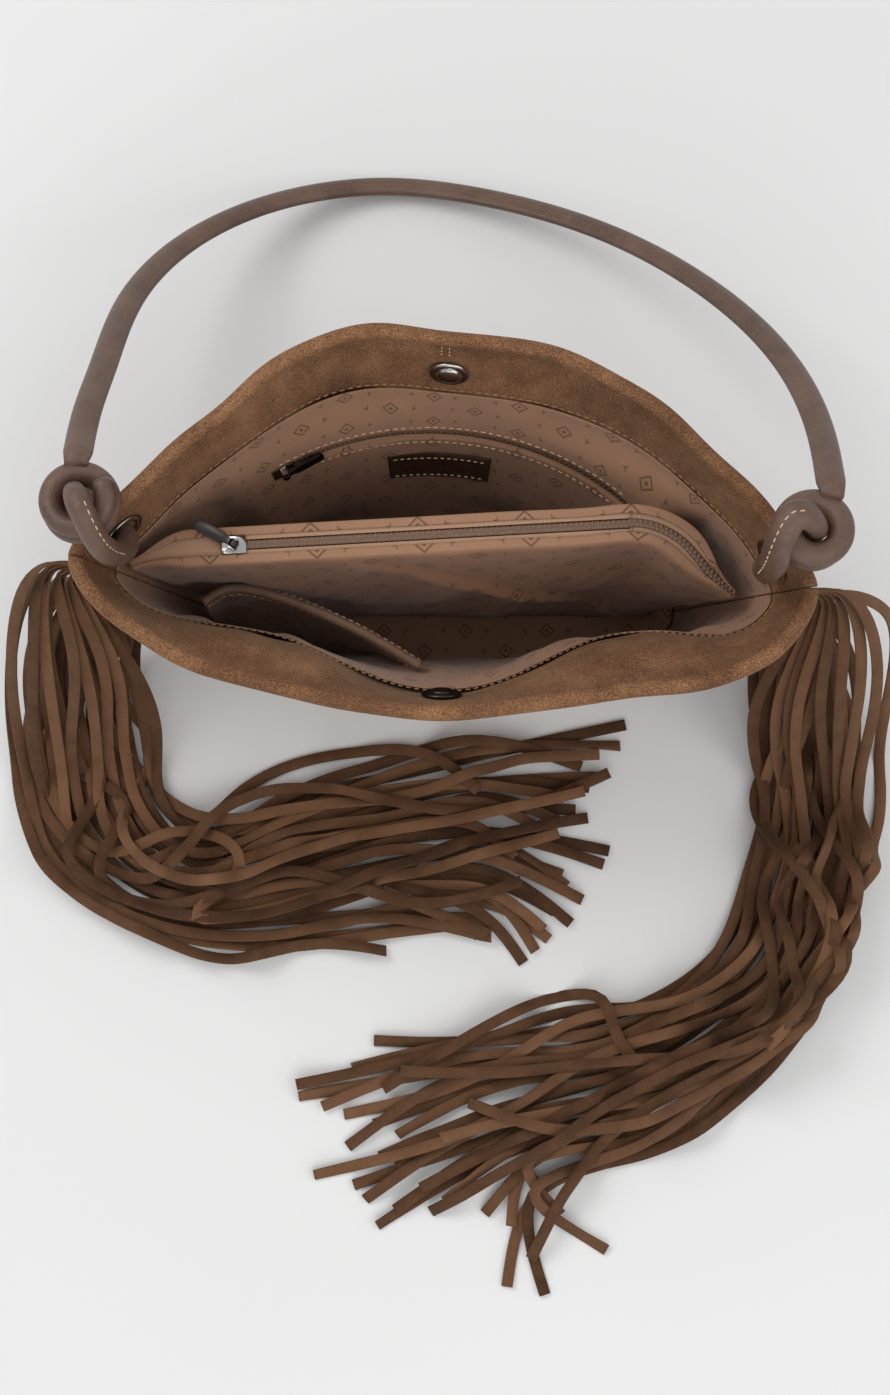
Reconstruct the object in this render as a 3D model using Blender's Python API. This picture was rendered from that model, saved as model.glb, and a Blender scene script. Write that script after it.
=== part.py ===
"""Fringed suede shoulder bag, standing open, with its strap laid back on the table.

Metres, +Z up, +X to the bag's right, -Y to its front.
The origin is the centre of the flat base.
"""
import math

import bmesh
import bpy
import numpy as np
from mathutils import Euler, Matrix, Vector

# Bag body
RIM = [  # one closed loop, from the left tip along the back to the right tip and home along the front
    (-0.165, -0.006, 0.193), (-0.150, 0.014, 0.193), (-0.126, 0.038, 0.195), (-0.103, 0.057, 0.198),
    (-0.080, 0.076, 0.200), (-0.057, 0.090, 0.201), (-0.030, 0.096, 0.201), (0.000, 0.093, 0.199),
    (0.038, 0.088, 0.200), (0.070, 0.077, 0.200), (0.100, 0.057, 0.198), (0.124, 0.034, 0.196),
    (0.145, 0.012, 0.194), (0.155, -0.003, 0.193), (0.163, -0.020, 0.193),
    (0.157, -0.037, 0.193), (0.142, -0.053, 0.193), (0.112, -0.064, 0.192), (0.070, -0.069, 0.190),
    (0.030, -0.075, 0.189), (-0.010, -0.077, 0.188), (-0.048, -0.072, 0.188), (-0.082, -0.064, 0.189),
    (-0.108, -0.056, 0.190), (-0.134, -0.043, 0.191), (-0.155, -0.026, 0.192),
]
RIGHT_TIP = 14              # place of the right tip in RIM
BASE_HALF_LENGTH = 0.120
BASE_HALF_WIDTH = 0.030
BASE_SQUARENESS = 2.6       # 2 is an ellipse, more is squarer
BASE_THICKNESS = 0.003
BACK_FLARE = 0.85           # 1 is a straight wall, more opens out nearer the rim
FRONT_FLARE = 1.5
FOLD_DEPTH = 0.0015
FOLD_COUNT = 3
SUEDE = 0.0016
FACING_THICKNESS = 0.0012
LINING = 0.0006
GAP = 0.0003                # between pieces that touch
LAYER_GAP = 0.0005          # between soft layers
POCKET_BAG_THICKNESS = 0.0010
POCKET_BAG_FOOT = 1 / 6     # as a share of the rim's height
PANEL_COLUMNS = 20
PANEL_ROWS = 6
ROW_MARGIN = 0.02           # rows nearer than this to a sheet's own edge are left out

# Fringe
STRIP_LAYERS = 3
STRIP_LANES = 8
STRIP_COUNT = STRIP_LAYERS * STRIP_LANES
STRIP_WIDTH = 0.0056
STRIP_PITCH = 0.0062
STRIP_THICKNESS = 0.0012
STRIP_SEGMENTS = 15
HEADER_FOOT = 0.024
HEADER_REACH = 0.009        # how far the header stands out of the side seam
HEADER_TUCK = 0.0011
STRIP_CLEARANCE = 0.0003    # air over the strips that lie under a strip
FLOOR_CLEARANCE = 0.0002
DRAPE_STEPS = 600
STRIP_STUB = 0.010          # first straight length out of the header
STRIP_FREE = 0.004          # cut edges this near the header never meet
STRIP_TWIST = 0.032         # over which a strip turns from upright to flat
STRIP_LANDING = 0.050       # how far out the lowest strips reach the table
STRIP_LANDING_PER_HEIGHT = 0.42
STRIP_CROWDING = 1.35       # more than 1 sets the joints closer near the header
STRIP_FINE = 420
TABLE = ((-0.26, -0.38), (0.26, 0.05))
FOOTPRINT_POINTS = 9
STRIP_WANDER = 0.35         # of a lane, for each layer up

# Strap and knots
STRAP_WIDTH = 0.0125
STRAP_THICKNESS = 0.0090
STRAP_LIE = math.radians(46.7)      # how steeply the strap falls to the table behind
STRAP_YAW = math.radians(-2.35)      # its pivot line is a little askew, as its knots are
STRAP_PIVOT = (0.004, 0.0282, 0.2145)
STRAP_PAST_PIVOT = 0.0028   # its ends reach a little past the pivot line
STRAP_ROUTE = [  # across and away from the pivot line, in the strap's own plane
    (-0.163, -STRAP_PAST_PIVOT), (-0.1645, 0.0353), (-0.1635, 0.0757), (-0.160, 0.1433),
    (-0.134, 0.221), (-0.088, 0.2704), (-0.045, 0.2866), (0.007, 0.2785), (0.069, 0.2432),
    (0.117, 0.1877), (0.151, 0.115), (0.163, 0.0414), (0.163, -STRAP_PAST_PIVOT),
]
KNOT_ROPE_RADIUS = 0.0050
KNOT_RING_RADIUS = 0.0122
KNOT_PITCH = 0.0112
LEFT_KNOT = (-0.157, 0.013, 0.2065)
LEFT_KNOT_TURN = math.radians(605.0)
RIGHT_KNOT = (0.158, 0.001, 0.2065)
RIGHT_KNOT_TURN = math.radians(-592.0)
LEG_STANDOFF = 0.0100       # centre line of the strap's legs from the middle of the wall
LEG_LIFT = 0.0013           # the strap bears on the top of its eyelet
LEG_OVER_RIM = [(-0.25, 0.0085), (-0.95, 0.0005), (-1.05, -0.0100)]     # shares of the standoff, and lifts
LEG_THROUGH_EYE = [(-0.95, LEG_LIFT + 0.0025), (-0.40, LEG_LIFT), (0.40, LEG_LIFT),
                   (0.95, LEG_LIFT + 0.0025), (1.20, 0.0120), (1.25, 0.0220)]
KNOT_START_RISE = 0.004
KNOT_DIP = 0.010
KNOT_JOIN_DROP = 0.006
KNOT_TAIL = 0.8             # of a step past the last wrap
KNOT_TURN_STATIONS = 24
KNOT_STATIONS = 74
STRAP_SIDES = 8
STRAP_STATIONS = 40

# Eyelets
EYELET_DROP = 0.025         # from the rim's end down to the middle of an eyelet
EYELET_HEIGHT = RIM[0][2] - EYELET_DROP
FACING_BELOW_EYELET = 0.0213
FACING_FOOT = (EYELET_HEIGHT - FACING_BELOW_EYELET) / RIM[0][2]     # a share of the rim's height
EYELET_BORE = 0.0072
EYELET_WALL = 0.0006
EYELET_FLANGE = 0.0104
EYELET_HOLE_CLEARANCE = 0.0004
EYELET_FLANGE_THICKNESS = 0.0008
EYELET_ROLL = 0.0004        # the barrel's end stands past its washer
EYELET_CUT_REACH = 0.012
EYELET_STAND = 0.0013       # from the bent suede to the flat rings
LEFT_EYELET_PHI = 0.055
RIGHT_EYELET_PHI = 0.955

# Snaps
SNAP_RADIUS = 0.0092
SNAP_THICKNESS = 0.0030
SNAP_STAND = 0.0009         # from the bent facing to the flat disc
SNAP_BACK_HEIGHT = 0.170
SNAP_FRONT_HEIGHT = 0.158

# Zips
ZIP_SLOT = 0.0005           # half the slot between the two coils
COIL_WIDTH = 0.0016
COIL_HEIGHT = 0.0018
TAPE_INNER = 0.0024
TAPE_WIDTH = 0.0050
TAPE_THICKNESS = 0.0005
SLIDER_HALF_WIDTH = 0.0040
SLIDER_LENGTH = 0.0110
SLIDER_PLATE = 0.0009
SLIDER_CLEARANCE = 0.0004
PULL_BAR_RADIUS = 0.0008
PULL_BAR_RISE = 0.0047
PULL_CLEARANCE = 0.0004
PULL_EYE_WALL = 0.0009
PULL_WIDTH = 0.0058
PULL_LENGTH = 0.0200
PULL_THICKNESS = 0.0012
PULL_EYE_HALF = PULL_WIDTH / 2 - 0.0012
PULL_NECK = 0.0040
PULL_SHOULDER = 0.0060
PULL_CORNER = 0.0015
EAR_THICKNESS = 0.0009
EAR_HALF = 0.0013
EAR_PAST_BAR = 0.0010
SLIDER_WEDGE_CLEARANCE = 0.0002
ZIP_STATIONS = 15

# Back wall zip: an arc about an upright axis
BACK_ZIP_CENTRE = (-0.0077, -0.0763)
BACK_ZIP_RADIUS = 0.1440
BACK_ZIP_HEIGHT = 0.118
BACK_ZIP_LEAN = 0.30        # how far the zip leans back for each metre up
BACK_ZIP_START = math.radians(121.0)
BACK_ZIP_END = math.radians(49.0)
BACK_ZIP_STAND = 0.0006     # from the zip tape to the lining in front of it
BACK_ZIP_SLIT = 0.0048      # half the height of the slit in the lining
BACK_ZIP_CUT = 0.005        # half the depth of the cut that makes it
LINING_DRAW_MARGIN = math.radians(9.0)      # over which the lining eases onto the zip's arc
LINING_DRAW_PAST = math.radians(4.0)
LINING_DRAW_LOW = (BACK_ZIP_HEIGHT - 0.078, BACK_ZIP_HEIGHT - 0.048)
LINING_DRAW_HIGH = (BACK_ZIP_HEIGHT + 0.017, BACK_ZIP_HEIGHT + 0.042)
POCKET_BAG_BELOW_ZIP = 0.0068       # under the slider, which runs past it
POCKET_BAG_TOP = (BACK_ZIP_HEIGHT - POCKET_BAG_BELOW_ZIP) / RIM[RIGHT_TIP // 2][2]

# Zipped middle compartment
DIVIDER_TOP = [  # centre line of its top, left to right
    (-0.144, -0.003, 0.150), (-0.125, 0.004, 0.150), (-0.106, 0.006, 0.150), (-0.057, 0.0088, 0.150),
    (-0.008, 0.0115, 0.150), (0.040, 0.0142, 0.150), (0.070, 0.0159, 0.150), (0.089, 0.017, 0.150),
    (0.108, 0.010, 0.146), (0.122, -0.004, 0.140), (0.134, -0.014, 0.134),
]
DIVIDER_HALF_TOP = 0.0090
DIVIDER_LIP = 0.0044        # from the zip's centre to the folded edge over the tape
DIVIDER_FOOT_HALF = 0.0030
DIVIDER_FOOT_LENGTH = 0.098
DIVIDER_TAPER = (0.10, 0.12)        # shares of its length over which it narrows to its tips
DIVIDER_TIP = 0.25
DIVIDER_BELLY = 0.006
DIVIDER_BACK_BELLY = 0.4            # of the front wall's
DIVIDER_COLUMNS = 20
DIVIDER_ROWS = 5
DIVIDER_ZIP_HALF = 0.094
DIVIDER_PULL_YAW = math.radians(32.0)

# Slip pocket on the front lining
SLIP_MOUTH = [  # its bound edge, left to right
    (-0.114, -0.014, 0.112), (-0.104, -0.008, 0.112), (-0.090, -0.008, 0.111), (-0.072, -0.013, 0.110),
    (-0.052, -0.021, 0.108), (-0.032, -0.031, 0.106), (-0.012, -0.043, 0.104),
]
SLIP_FOOT = 0.105            # height of its foot, as a share of the rim's height
SLIP_FOOT_PHI = (1.905, 1.560)
SLIP_STAND = 0.0010         # from the lining, which bends in flat lengths
SLIP_SAG = 0.008
SLIP_COLUMNS = 12
SLIP_ROWS = 4
BINDING_RADIUS = 0.0022
BINDING_GAP = GAP + 0.0002

# Label
LABEL_HALF_ANGLE = math.radians(10.6)
LABEL_MIDDLE = math.radians(88.0)
LABEL_BELOW_ZIP = 0.016
LABEL_SIZE = 0.022          # from its lower to its upper edge
LABEL_HIGH = BACK_ZIP_HEIGHT - LABEL_BELOW_ZIP
LABEL_LOW = LABEL_HIGH - LABEL_SIZE
LABEL_THICKNESS = 0.0012
LABEL_STAND = 0.0009        # from the lining, as the slip pocket

LEFT_GATES = [  # middle of the fringe on the table and half its spread, from the bag to the ends
    ((-0.182, -0.030), 0.026), ((-0.184, -0.072), 0.036), ((-0.172, -0.112), 0.034),
    ((-0.132, -0.140), 0.030), ((-0.082, -0.136), 0.038), ((-0.030, -0.126), 0.044),
    ((0.018, -0.120), 0.050),
]
LEFT_ENDS = [
    (0.093, -0.059), (0.090, -0.070), (0.070, -0.081), (0.078, -0.086), (0.074, -0.092), (0.061, -0.097),
    (0.067, -0.103), (0.058, -0.109), (0.052, -0.115), (0.084, -0.124), (0.081, -0.131), (0.035, -0.128),
    (0.060, -0.136), (0.062, -0.142), (0.070, -0.149), (0.056, -0.155), (0.064, -0.161), (0.050, -0.164),
    (0.053, -0.169), (0.046, -0.175), (0.040, -0.181), (0.014, -0.167), (-0.020, -0.158), (-0.032, -0.145),
]
RIGHT_GATES = [
    ((0.182, -0.046), 0.026), ((0.188, -0.092), 0.026), ((0.182, -0.140), 0.027),
    ((0.163, -0.186), 0.029), ((0.128, -0.220), 0.034), ((0.082, -0.244), 0.040),
    ((0.034, -0.258), 0.046),
]
RIGHT_ENDS = [
    (-0.036, -0.220), (-0.047, -0.234), (-0.075, -0.242), (-0.074, -0.248), (-0.062, -0.253),
    (-0.051, -0.257), (-0.036, -0.262), (-0.024, -0.267), (-0.049, -0.273), (-0.033, -0.278),
    (-0.024, -0.283), (-0.066, -0.287), (-0.046, -0.292), (-0.040, -0.299), (-0.025, -0.304),
    (-0.034, -0.312), (0.000, -0.300), (0.020, -0.306), (0.046, -0.292), (0.033, -0.312),
    (0.058, -0.306), (0.031, -0.342), (0.050, -0.346), (0.081, -0.324),
]


def clear_scene():
    for thing in list(bpy.data.objects):
        bpy.data.objects.remove(thing, do_unlink=True)


def material(name, colour, roughness, metallic=0.0):
    """A plain finish."""
    made = bpy.data.materials.new(name)
    made.use_nodes = True
    shader = made.node_tree.nodes["Principled BSDF"]
    shader.inputs["Base Color"].default_value = (*colour, 1.0)
    shader.inputs["Roughness"].default_value = roughness
    shader.inputs["Metallic"].default_value = metallic
    return made


def new_object(name, verts, faces, finish, smooth=True):
    """A mesh object from plain lists."""
    mesh = bpy.data.meshes.new(name)
    mesh.from_pydata([tuple(map(float, v)) for v in verts], [], faces)
    mesh.validate()
    if smooth:
        mesh.shade_smooth()
    mesh.materials.append(finish)
    made = bpy.data.objects.new(name, mesh)
    bpy.context.scene.collection.objects.link(made)
    return made


def tidy(obj, merge=1e-6):
    """Merge doubled corners and turn every face outwards."""
    work = bmesh.new()
    work.from_mesh(obj.data)
    bmesh.ops.remove_doubles(work, verts=work.verts, dist=merge)
    bmesh.ops.recalc_face_normals(work, faces=work.faces)
    if work.calc_volume(signed=True) < 0.0:
        bmesh.ops.reverse_faces(work, faces=work.faces)
    work.to_mesh(obj.data)
    work.free()
    return obj


def smooth_step(t):
    t = np.clip(t, 0.0, 1.0)
    return t * t * (3.0 - 2.0 * t)


def curve_through(points, count=None, places=None):
    """A smooth curve through hand-chosen points: each coordinate is a natural cubic in chord length."""
    points = np.asarray(points, dtype=float)
    knots = np.concatenate([[0.0], np.cumsum(np.linalg.norm(np.diff(points, axis=0), axis=1))])
    knots /= knots[-1]
    if places is None:
        places = np.linspace(0.0, 1.0, count)
    return cubic(knots, points, places, closed=False)


def cubic(knots, values, places, closed):
    """Cubic interpolation with matching slopes and curvatures, natural at open ends."""
    n = len(knots)
    h = np.diff(knots)
    rows = np.zeros((n, n))
    right = np.zeros((n, values.shape[1]))
    slopes = np.diff(values, axis=0) / h[:, None]
    for k in range(1, n - 1):
        rows[k, k - 1:k + 2] = h[k - 1], 2.0 * (h[k - 1] + h[k]), h[k]
        right[k] = 6.0 * (slopes[k] - slopes[k - 1])
    if closed:
        rows[0, 0], rows[0, -1] = 1.0, -1.0
        rows[-1, 0], rows[-1, 1] = 2.0 * h[0], h[0]
        rows[-1, -2], rows[-1, -1] = h[-1], 2.0 * h[-1]
        right[-1] = 6.0 * (slopes[0] - slopes[-1])
    else:
        rows[0, 0] = rows[-1, -1] = 1.0
    bend = np.linalg.solve(rows, right)
    places = np.asarray(places, dtype=float)
    k = np.clip(np.searchsorted(knots, places, side="right") - 1, 0, n - 2)
    a = ((knots[k + 1] - places) / h[k])[:, None]
    b = ((places - knots[k]) / h[k])[:, None]
    bow = (a ** 3 - a) * bend[k] + (b ** 3 - b) * bend[k + 1]
    return a * values[k] + b * values[k + 1] + bow * (h[k] ** 2)[:, None] / 6.0


def rim_knots():
    """Places of the rim's points: 0 at the left tip, 1 at the right tip, 2 back at the left."""
    loop = np.array(RIM + RIM[:1])
    step = np.linalg.norm(np.diff(loop, axis=0), axis=1)
    back = np.cumsum(step[:RIGHT_TIP])
    front = np.cumsum(step[RIGHT_TIP:])
    return np.concatenate([[0.0], back / back[-1], 1.0 + front / front[-1]]), loop


RIM_KNOTS, RIM_LOOP = rim_knots()


def wall_point(phi, v):
    """The outer face of the bag: a loft from the base to the rim, with soft upright folds.

    phi runs round the bag and v runs up it, and both are arrays of one length.
    """
    phi = np.mod(phi, 2.0)
    rim = cubic(RIM_KNOTS, RIM_LOOP, phi, closed=True)
    turn = math.pi * phi
    grow = SUEDE + GAP
    power = 2.0 / BASE_SQUARENESS
    base_x = -np.sign(np.cos(turn)) * np.abs(np.cos(turn)) ** power * (BASE_HALF_LENGTH + grow)
    base_y = np.sign(np.sin(turn)) * np.abs(np.sin(turn)) ** power * (BASE_HALF_WIDTH + grow)
    inside = np.sin(turn) ** 2
    flare = np.where(phi > 1.0, FRONT_FLARE, BACK_FLARE)
    rise = v ** (1.0 + (flare - 1.0) * inside)
    wave = np.sin(2.0 * math.pi * (FOLD_COUNT * phi + 0.4 * v + 0.5))
    fold = FOLD_DEPTH * inside * np.sin(math.pi * v) * wave
    side = np.where(phi > 1.0, -1.0, 1.0)
    x = base_x + (rim[:, 0] - base_x) * rise
    y = base_y + (rim[:, 1] - base_y) * rise + side * fold
    return np.stack([x, y, rim[:, 2] * v], axis=1)


def wall_normal(phi, v):
    """Unit vectors out of the bag, from differences across a small step."""
    step = 2e-3
    along = wall_point(phi + step, v) - wall_point(phi - step, v)
    low = np.clip(v - step, 0.0, 1.0)
    high = np.clip(v + step, 0.0, 1.0)
    up = wall_point(phi, high) - wall_point(phi, low)
    out = np.cross(up, along)
    return out / np.linalg.norm(out, axis=1)[:, None]


def wall(phi, v, depth):
    """A point at a depth inside the outer face, with each half drawn off the side seam."""
    phi = np.asarray(phi, dtype=float)
    seam = (STRIP_THICKNESS / 2.0 + GAP) * np.where(np.mod(phi, 2.0) >= 1.0, -1.0, 1.0)
    made = wall_point(phi, v) - wall_normal(phi, v) * np.reshape(depth, (-1, 1))
    made[:, 1] += seam
    return made


def half_columns(side, count):
    """Places along one half of the bag, closer together at its tips."""
    even = np.linspace(0.0, 1.0, count + 1)
    spread = 0.75 * even + 0.25 * (0.5 - 0.5 * np.cos(math.pi * even))
    return np.clip(spread, 1e-7, 1.0 - 1e-7) + (0.0 if side == "back" else 1.0)


def sheet_solid(name, outer, inner, finish):
    """A closed sheet between two grids of points, rows by columns by 3."""
    rows, cols = outer.shape[:2]
    verts = np.concatenate([outer.reshape(-1, 3), inner.reshape(-1, 3)])
    skin = rows * cols
    faces = []
    for r in range(rows - 1):
        for c in range(cols - 1):
            a, b, d, e = r * cols + c, r * cols + c + 1, (r + 1) * cols + c + 1, (r + 1) * cols + c
            faces.append((a, b, d, e))
            faces.append((skin + e, skin + d, skin + b, skin + a))
    edge = [r * cols for r in range(rows)]
    border = list(range(cols)) + [r * cols + cols - 1 for r in range(1, rows)]
    border += [(rows - 1) * cols + c for c in range(cols - 2, -1, -1)] + edge[-2:0:-1]
    for a, b in zip(border, border[1:] + border[:1]):
        faces.append((b, a, skin + a, skin + b))
    return tidy(new_object(name, verts, faces, finish))


def wall_sheet(name, side, low, high, depth, thickness, finish, shape=None, trim=0):
    """A sheet that follows the bag's wall between two heights, on the panels' own rows and columns."""
    phi = half_columns(side, PANEL_COLUMNS)
    phi = phi[trim:len(phi) - trim]
    rows = np.linspace(0.0, 1.0, PANEL_ROWS + 1)
    inner = rows[(rows > low + ROW_MARGIN) & (rows < high - ROW_MARGIN)]
    heights = np.concatenate([[low], inner, [high]])
    grid_phi, grid_v = np.meshgrid(phi, heights)
    layers = []
    for level in (depth, depth + thickness):
        points = wall(grid_phi.ravel(), grid_v.ravel(), level).reshape(len(heights), -1, 3)
        layers.append(points if shape is None else shape(points, level - depth))
    return sheet_solid(name, layers[0], layers[1], finish)


def turned(name, profile, finish, segments, place, axis):
    """A closed profile of (radius, height) pairs, spun about its height and set on an axis."""
    work = bmesh.new()
    loop = [work.verts.new((radius, 0.0, height)) for radius, height in profile]
    edges = [work.edges.new((a, b)) for a, b in zip(loop, loop[1:])]
    if profile[0][0] > 0.0:
        edges.append(work.edges.new((loop[-1], loop[0])))
    bmesh.ops.spin(work, geom=loop + edges, cent=(0, 0, 0), axis=(0, 0, 1), angle=2.0 * math.pi,
                   steps=segments, use_merge=True)
    bmesh.ops.remove_doubles(work, verts=work.verts, dist=1e-6)
    bmesh.ops.recalc_face_normals(work, faces=work.faces)
    mesh = bpy.data.meshes.new(name)
    work.to_mesh(mesh)
    work.free()
    mesh.shade_smooth()
    mesh.materials.append(finish)
    made = bpy.data.objects.new(name, mesh)
    made.location = place
    made.rotation_euler = Vector(axis).to_track_quat("Z", "Y").to_euler()
    bpy.context.scene.collection.objects.link(made)
    return made


def rope(name, points, radius, finish, resolution=2, section=None):
    """A round strap along a route, or one with its own section."""
    data = bpy.data.curves.new(name, "CURVE")
    data.dimensions = "3D"
    line = data.splines.new("POLY")
    line.points.add(len(points) - 1)
    for spot, point in zip(line.points, points):
        spot.co = (*map(float, point), 1.0)
    if section is None:
        data.bevel_depth = radius
        data.bevel_resolution = resolution
    else:
        data.bevel_mode = "OBJECT"
        data.bevel_object = section
        data.twist_mode = "Z_UP"
    data.use_fill_caps = True
    data.materials.append(finish)
    made = bpy.data.objects.new(name, data)
    bpy.context.scene.collection.objects.link(made)
    return made


def guide_ring(name, half_width, half_height, sides):
    """An oval guide that gives the strap its section."""
    data = bpy.data.curves.new(name, "CURVE")
    data.dimensions = "2D"
    line = data.splines.new("POLY")
    line.points.add(sides - 1)
    for k, spot in enumerate(line.points):
        turn = -2.0 * math.pi * (k + 0.5) / sides
        spot.co = (half_width * math.cos(turn), half_height * math.sin(turn), 0.0, 1.0)
    line.use_cyclic_u = True
    made = bpy.data.objects.new(name, data)
    made.hide_render = True
    made.display_type = "WIRE"
    bpy.context.scene.collection.objects.link(made)
    return made


def box_mesh(work, low, high):
    """A box between two corners, added to a bmesh."""
    corners = [work.verts.new((x, y, z)) for z in (low[2], high[2]) for x, y in
               ((low[0], low[1]), (high[0], low[1]), (high[0], high[1]), (low[0], high[1]))]
    for face in ((3, 2, 1, 0), (4, 5, 6, 7), (0, 1, 5, 4), (1, 2, 6, 5), (2, 3, 7, 6), (3, 0, 4, 7)):
        work.faces.new([corners[k] for k in face])


def cut(obj, cutter, operation="DIFFERENCE"):
    """A Boolean with a hidden cutter."""
    modifier = obj.modifiers.new(operation.lower() + "_" + cutter.name, "BOOLEAN")
    modifier.operation = operation
    modifier.object = cutter
    modifier.solver = "EXACT"
    cutter.hide_render = True
    cutter.display_type = "WIRE"


# Body of the bag

def base_outline(grow, count):
    turn = 2.0 * math.pi * np.arange(count) / count
    power = 2.0 / BASE_SQUARENESS
    x = np.sign(np.cos(turn)) * np.abs(np.cos(turn)) ** power * (BASE_HALF_LENGTH + grow)
    y = np.sign(np.sin(turn)) * np.abs(np.sin(turn)) ** power * (BASE_HALF_WIDTH + grow)
    return np.stack([x, y], axis=1)


def flat_plate(name, outline, low, high, finish):
    """An upright prism of one closed outline."""
    count = len(outline)
    verts = [(x, y, low) for x, y in outline] + [(x, y, high) for x, y in outline]
    faces = [tuple(range(count))[::-1], tuple(range(count, 2 * count))]
    faces += [(k, (k + 1) % count, count + (k + 1) % count, count + k) for k in range(count)]
    return new_object(name, verts, faces, finish, smooth=False)


LINING_DEPTH = SUEDE + LAYER_GAP + FACING_THICKNESS + LAYER_GAP
LINING_TOP = FACING_FOOT + ROW_MARGIN
LINING_FOOT = 0.045


def lining_arc(points, inward):
    """The back lining, drawn onto the arc of its zip where the zip is sewn."""
    centre = np.array(BACK_ZIP_CENTRE)
    offset = points[..., :2] - centre
    radius = np.linalg.norm(offset, axis=-1)
    angle = np.arctan2(offset[..., 1], offset[..., 0])
    height = points[..., 2]
    goal = zip_radius(height) - TAPE_THICKNESS / 2 - BACK_ZIP_STAND - inward
    margin = LINING_DRAW_MARGIN
    reach = margin + LINING_DRAW_PAST
    across = smooth_step((angle - BACK_ZIP_END + reach) / margin)
    across = across * smooth_step((BACK_ZIP_START + reach - angle) / margin)
    low, low_done = LINING_DRAW_LOW
    high_done, high = LINING_DRAW_HIGH
    upright = smooth_step((height - low) / (low_done - low)) * smooth_step((high - height) / (high - high_done))
    drawn = radius + (goal - radius) * across * upright
    drawn = np.minimum(radius, drawn)
    out = points.copy()
    out[..., 0] = centre[0] + np.cos(angle) * drawn
    out[..., 1] = centre[1] + np.sin(angle) * drawn
    return out


def build_shell(suede, lining):
    """Outer panels, base, facings and lining."""
    made = {}
    for side in ("back", "front"):
        made["panel_" + side] = wall_sheet("panel_" + side, side, 0.0, 1.0, 0.0, SUEDE, suede)
        made["facing_" + side] = wall_sheet("facing_" + side, side, FACING_FOOT, 1.0, SUEDE + LAYER_GAP,
                                            FACING_THICKNESS, suede)
        shape = lining_arc if side == "back" else None
        made["lining_" + side] = wall_sheet("lining_" + side, side, LINING_FOOT, LINING_TOP, LINING_DEPTH,
                                            LINING, lining, shape)
    made["base_panel"] = flat_plate("base_panel", base_outline(0.0, 32), 0.0, BASE_THICKNESS, suede)
    low = BASE_THICKNESS + GAP
    made["lining_base"] = flat_plate("lining_base", base_outline(-LINING_DEPTH, 32), low, low + LINING, lining)
    return made


# Zips

def zip_radius(height):
    """Radius of the back zip's middle surface at a height."""
    return BACK_ZIP_RADIUS + BACK_ZIP_LEAN * (height - BACK_ZIP_HEIGHT)


def back_zip_frame(angle):
    """Place and axes of the back zip at an angle: along its run to the right, up its face, out of it."""
    lean = 1.0 / math.hypot(1.0, BACK_ZIP_LEAN)
    radial = np.array([math.cos(angle), math.sin(angle), 0.0])
    place = np.array([*BACK_ZIP_CENTRE, BACK_ZIP_HEIGHT]) + radial * BACK_ZIP_RADIUS
    along = np.array([math.sin(angle), -math.cos(angle), 0.0])
    up = (radial * BACK_ZIP_LEAN + np.array([0.0, 0.0, 1.0])) * lean
    out = np.cross(along, up)
    return place, along, up, out


def divider_zip_frame(shift):
    """Place and axes of the divider's zip, at a distance along it from its middle."""
    middle = np.array(DIVIDER_TOP[4])
    along = np.array(DIVIDER_TOP[7]) - np.array(DIVIDER_TOP[2])
    along /= np.linalg.norm(along)
    out = np.array([0.0, 0.0, 1.0])
    return middle + along * shift, along, np.cross(out, along), out


def band(name, frames, across, out, finish):
    """A strip of rectangular section carried along a zip."""
    verts = []
    for place, _, up, normal in frames:
        for a, o in ((across[0], out[0]), (across[1], out[0]), (across[1], out[1]), (across[0], out[1])):
            verts.append(place + up * a + normal * o)
    faces = [(3, 2, 1, 0)]
    for k in range(len(frames) - 1):
        for c in range(4):
            a, b = 4 * k + c, 4 * k + (c + 1) % 4
            faces.append((a, b, b + 4, a + 4))
    last = 4 * (len(frames) - 1)
    faces.append((last, last + 1, last + 2, last + 3))
    return tidy(new_object(name, verts, faces, finish, smooth=False))


def zip_chain(prefix, frames, tape_finish, coil_finish):
    """Two tapes and two coils, with a slot for the slider's wedge."""
    made = {}
    for word, sign in (("upper", 1.0), ("lower", -1.0)):
        tape = (sign * TAPE_INNER, sign * (TAPE_INNER + TAPE_WIDTH))
        coil = (sign * ZIP_SLOT, sign * (ZIP_SLOT + COIL_WIDTH))
        name = prefix + "_tape_" + word
        made[name] = band(name, frames, tape, (-TAPE_THICKNESS / 2, TAPE_THICKNESS / 2), tape_finish)
        name = prefix + "_coil_" + word
        made[name] = band(name, frames, coil, (-COIL_HEIGHT / 2, COIL_HEIGHT / 2), coil_finish)
    return made


def placed(obj, frame, yaw=0.0):
    """Set an object on a zip: its X along the run, its Y up the face, its Z out of it."""
    place, along, up, out = (Vector(v) for v in frame)
    turned_along = along * math.cos(yaw) + up * math.sin(yaw)
    turned_up = up * math.cos(yaw) - along * math.sin(yaw)
    obj.rotation_euler = Matrix((turned_along, turned_up, out)).transposed().to_euler()
    obj.location = place
    return obj


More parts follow.
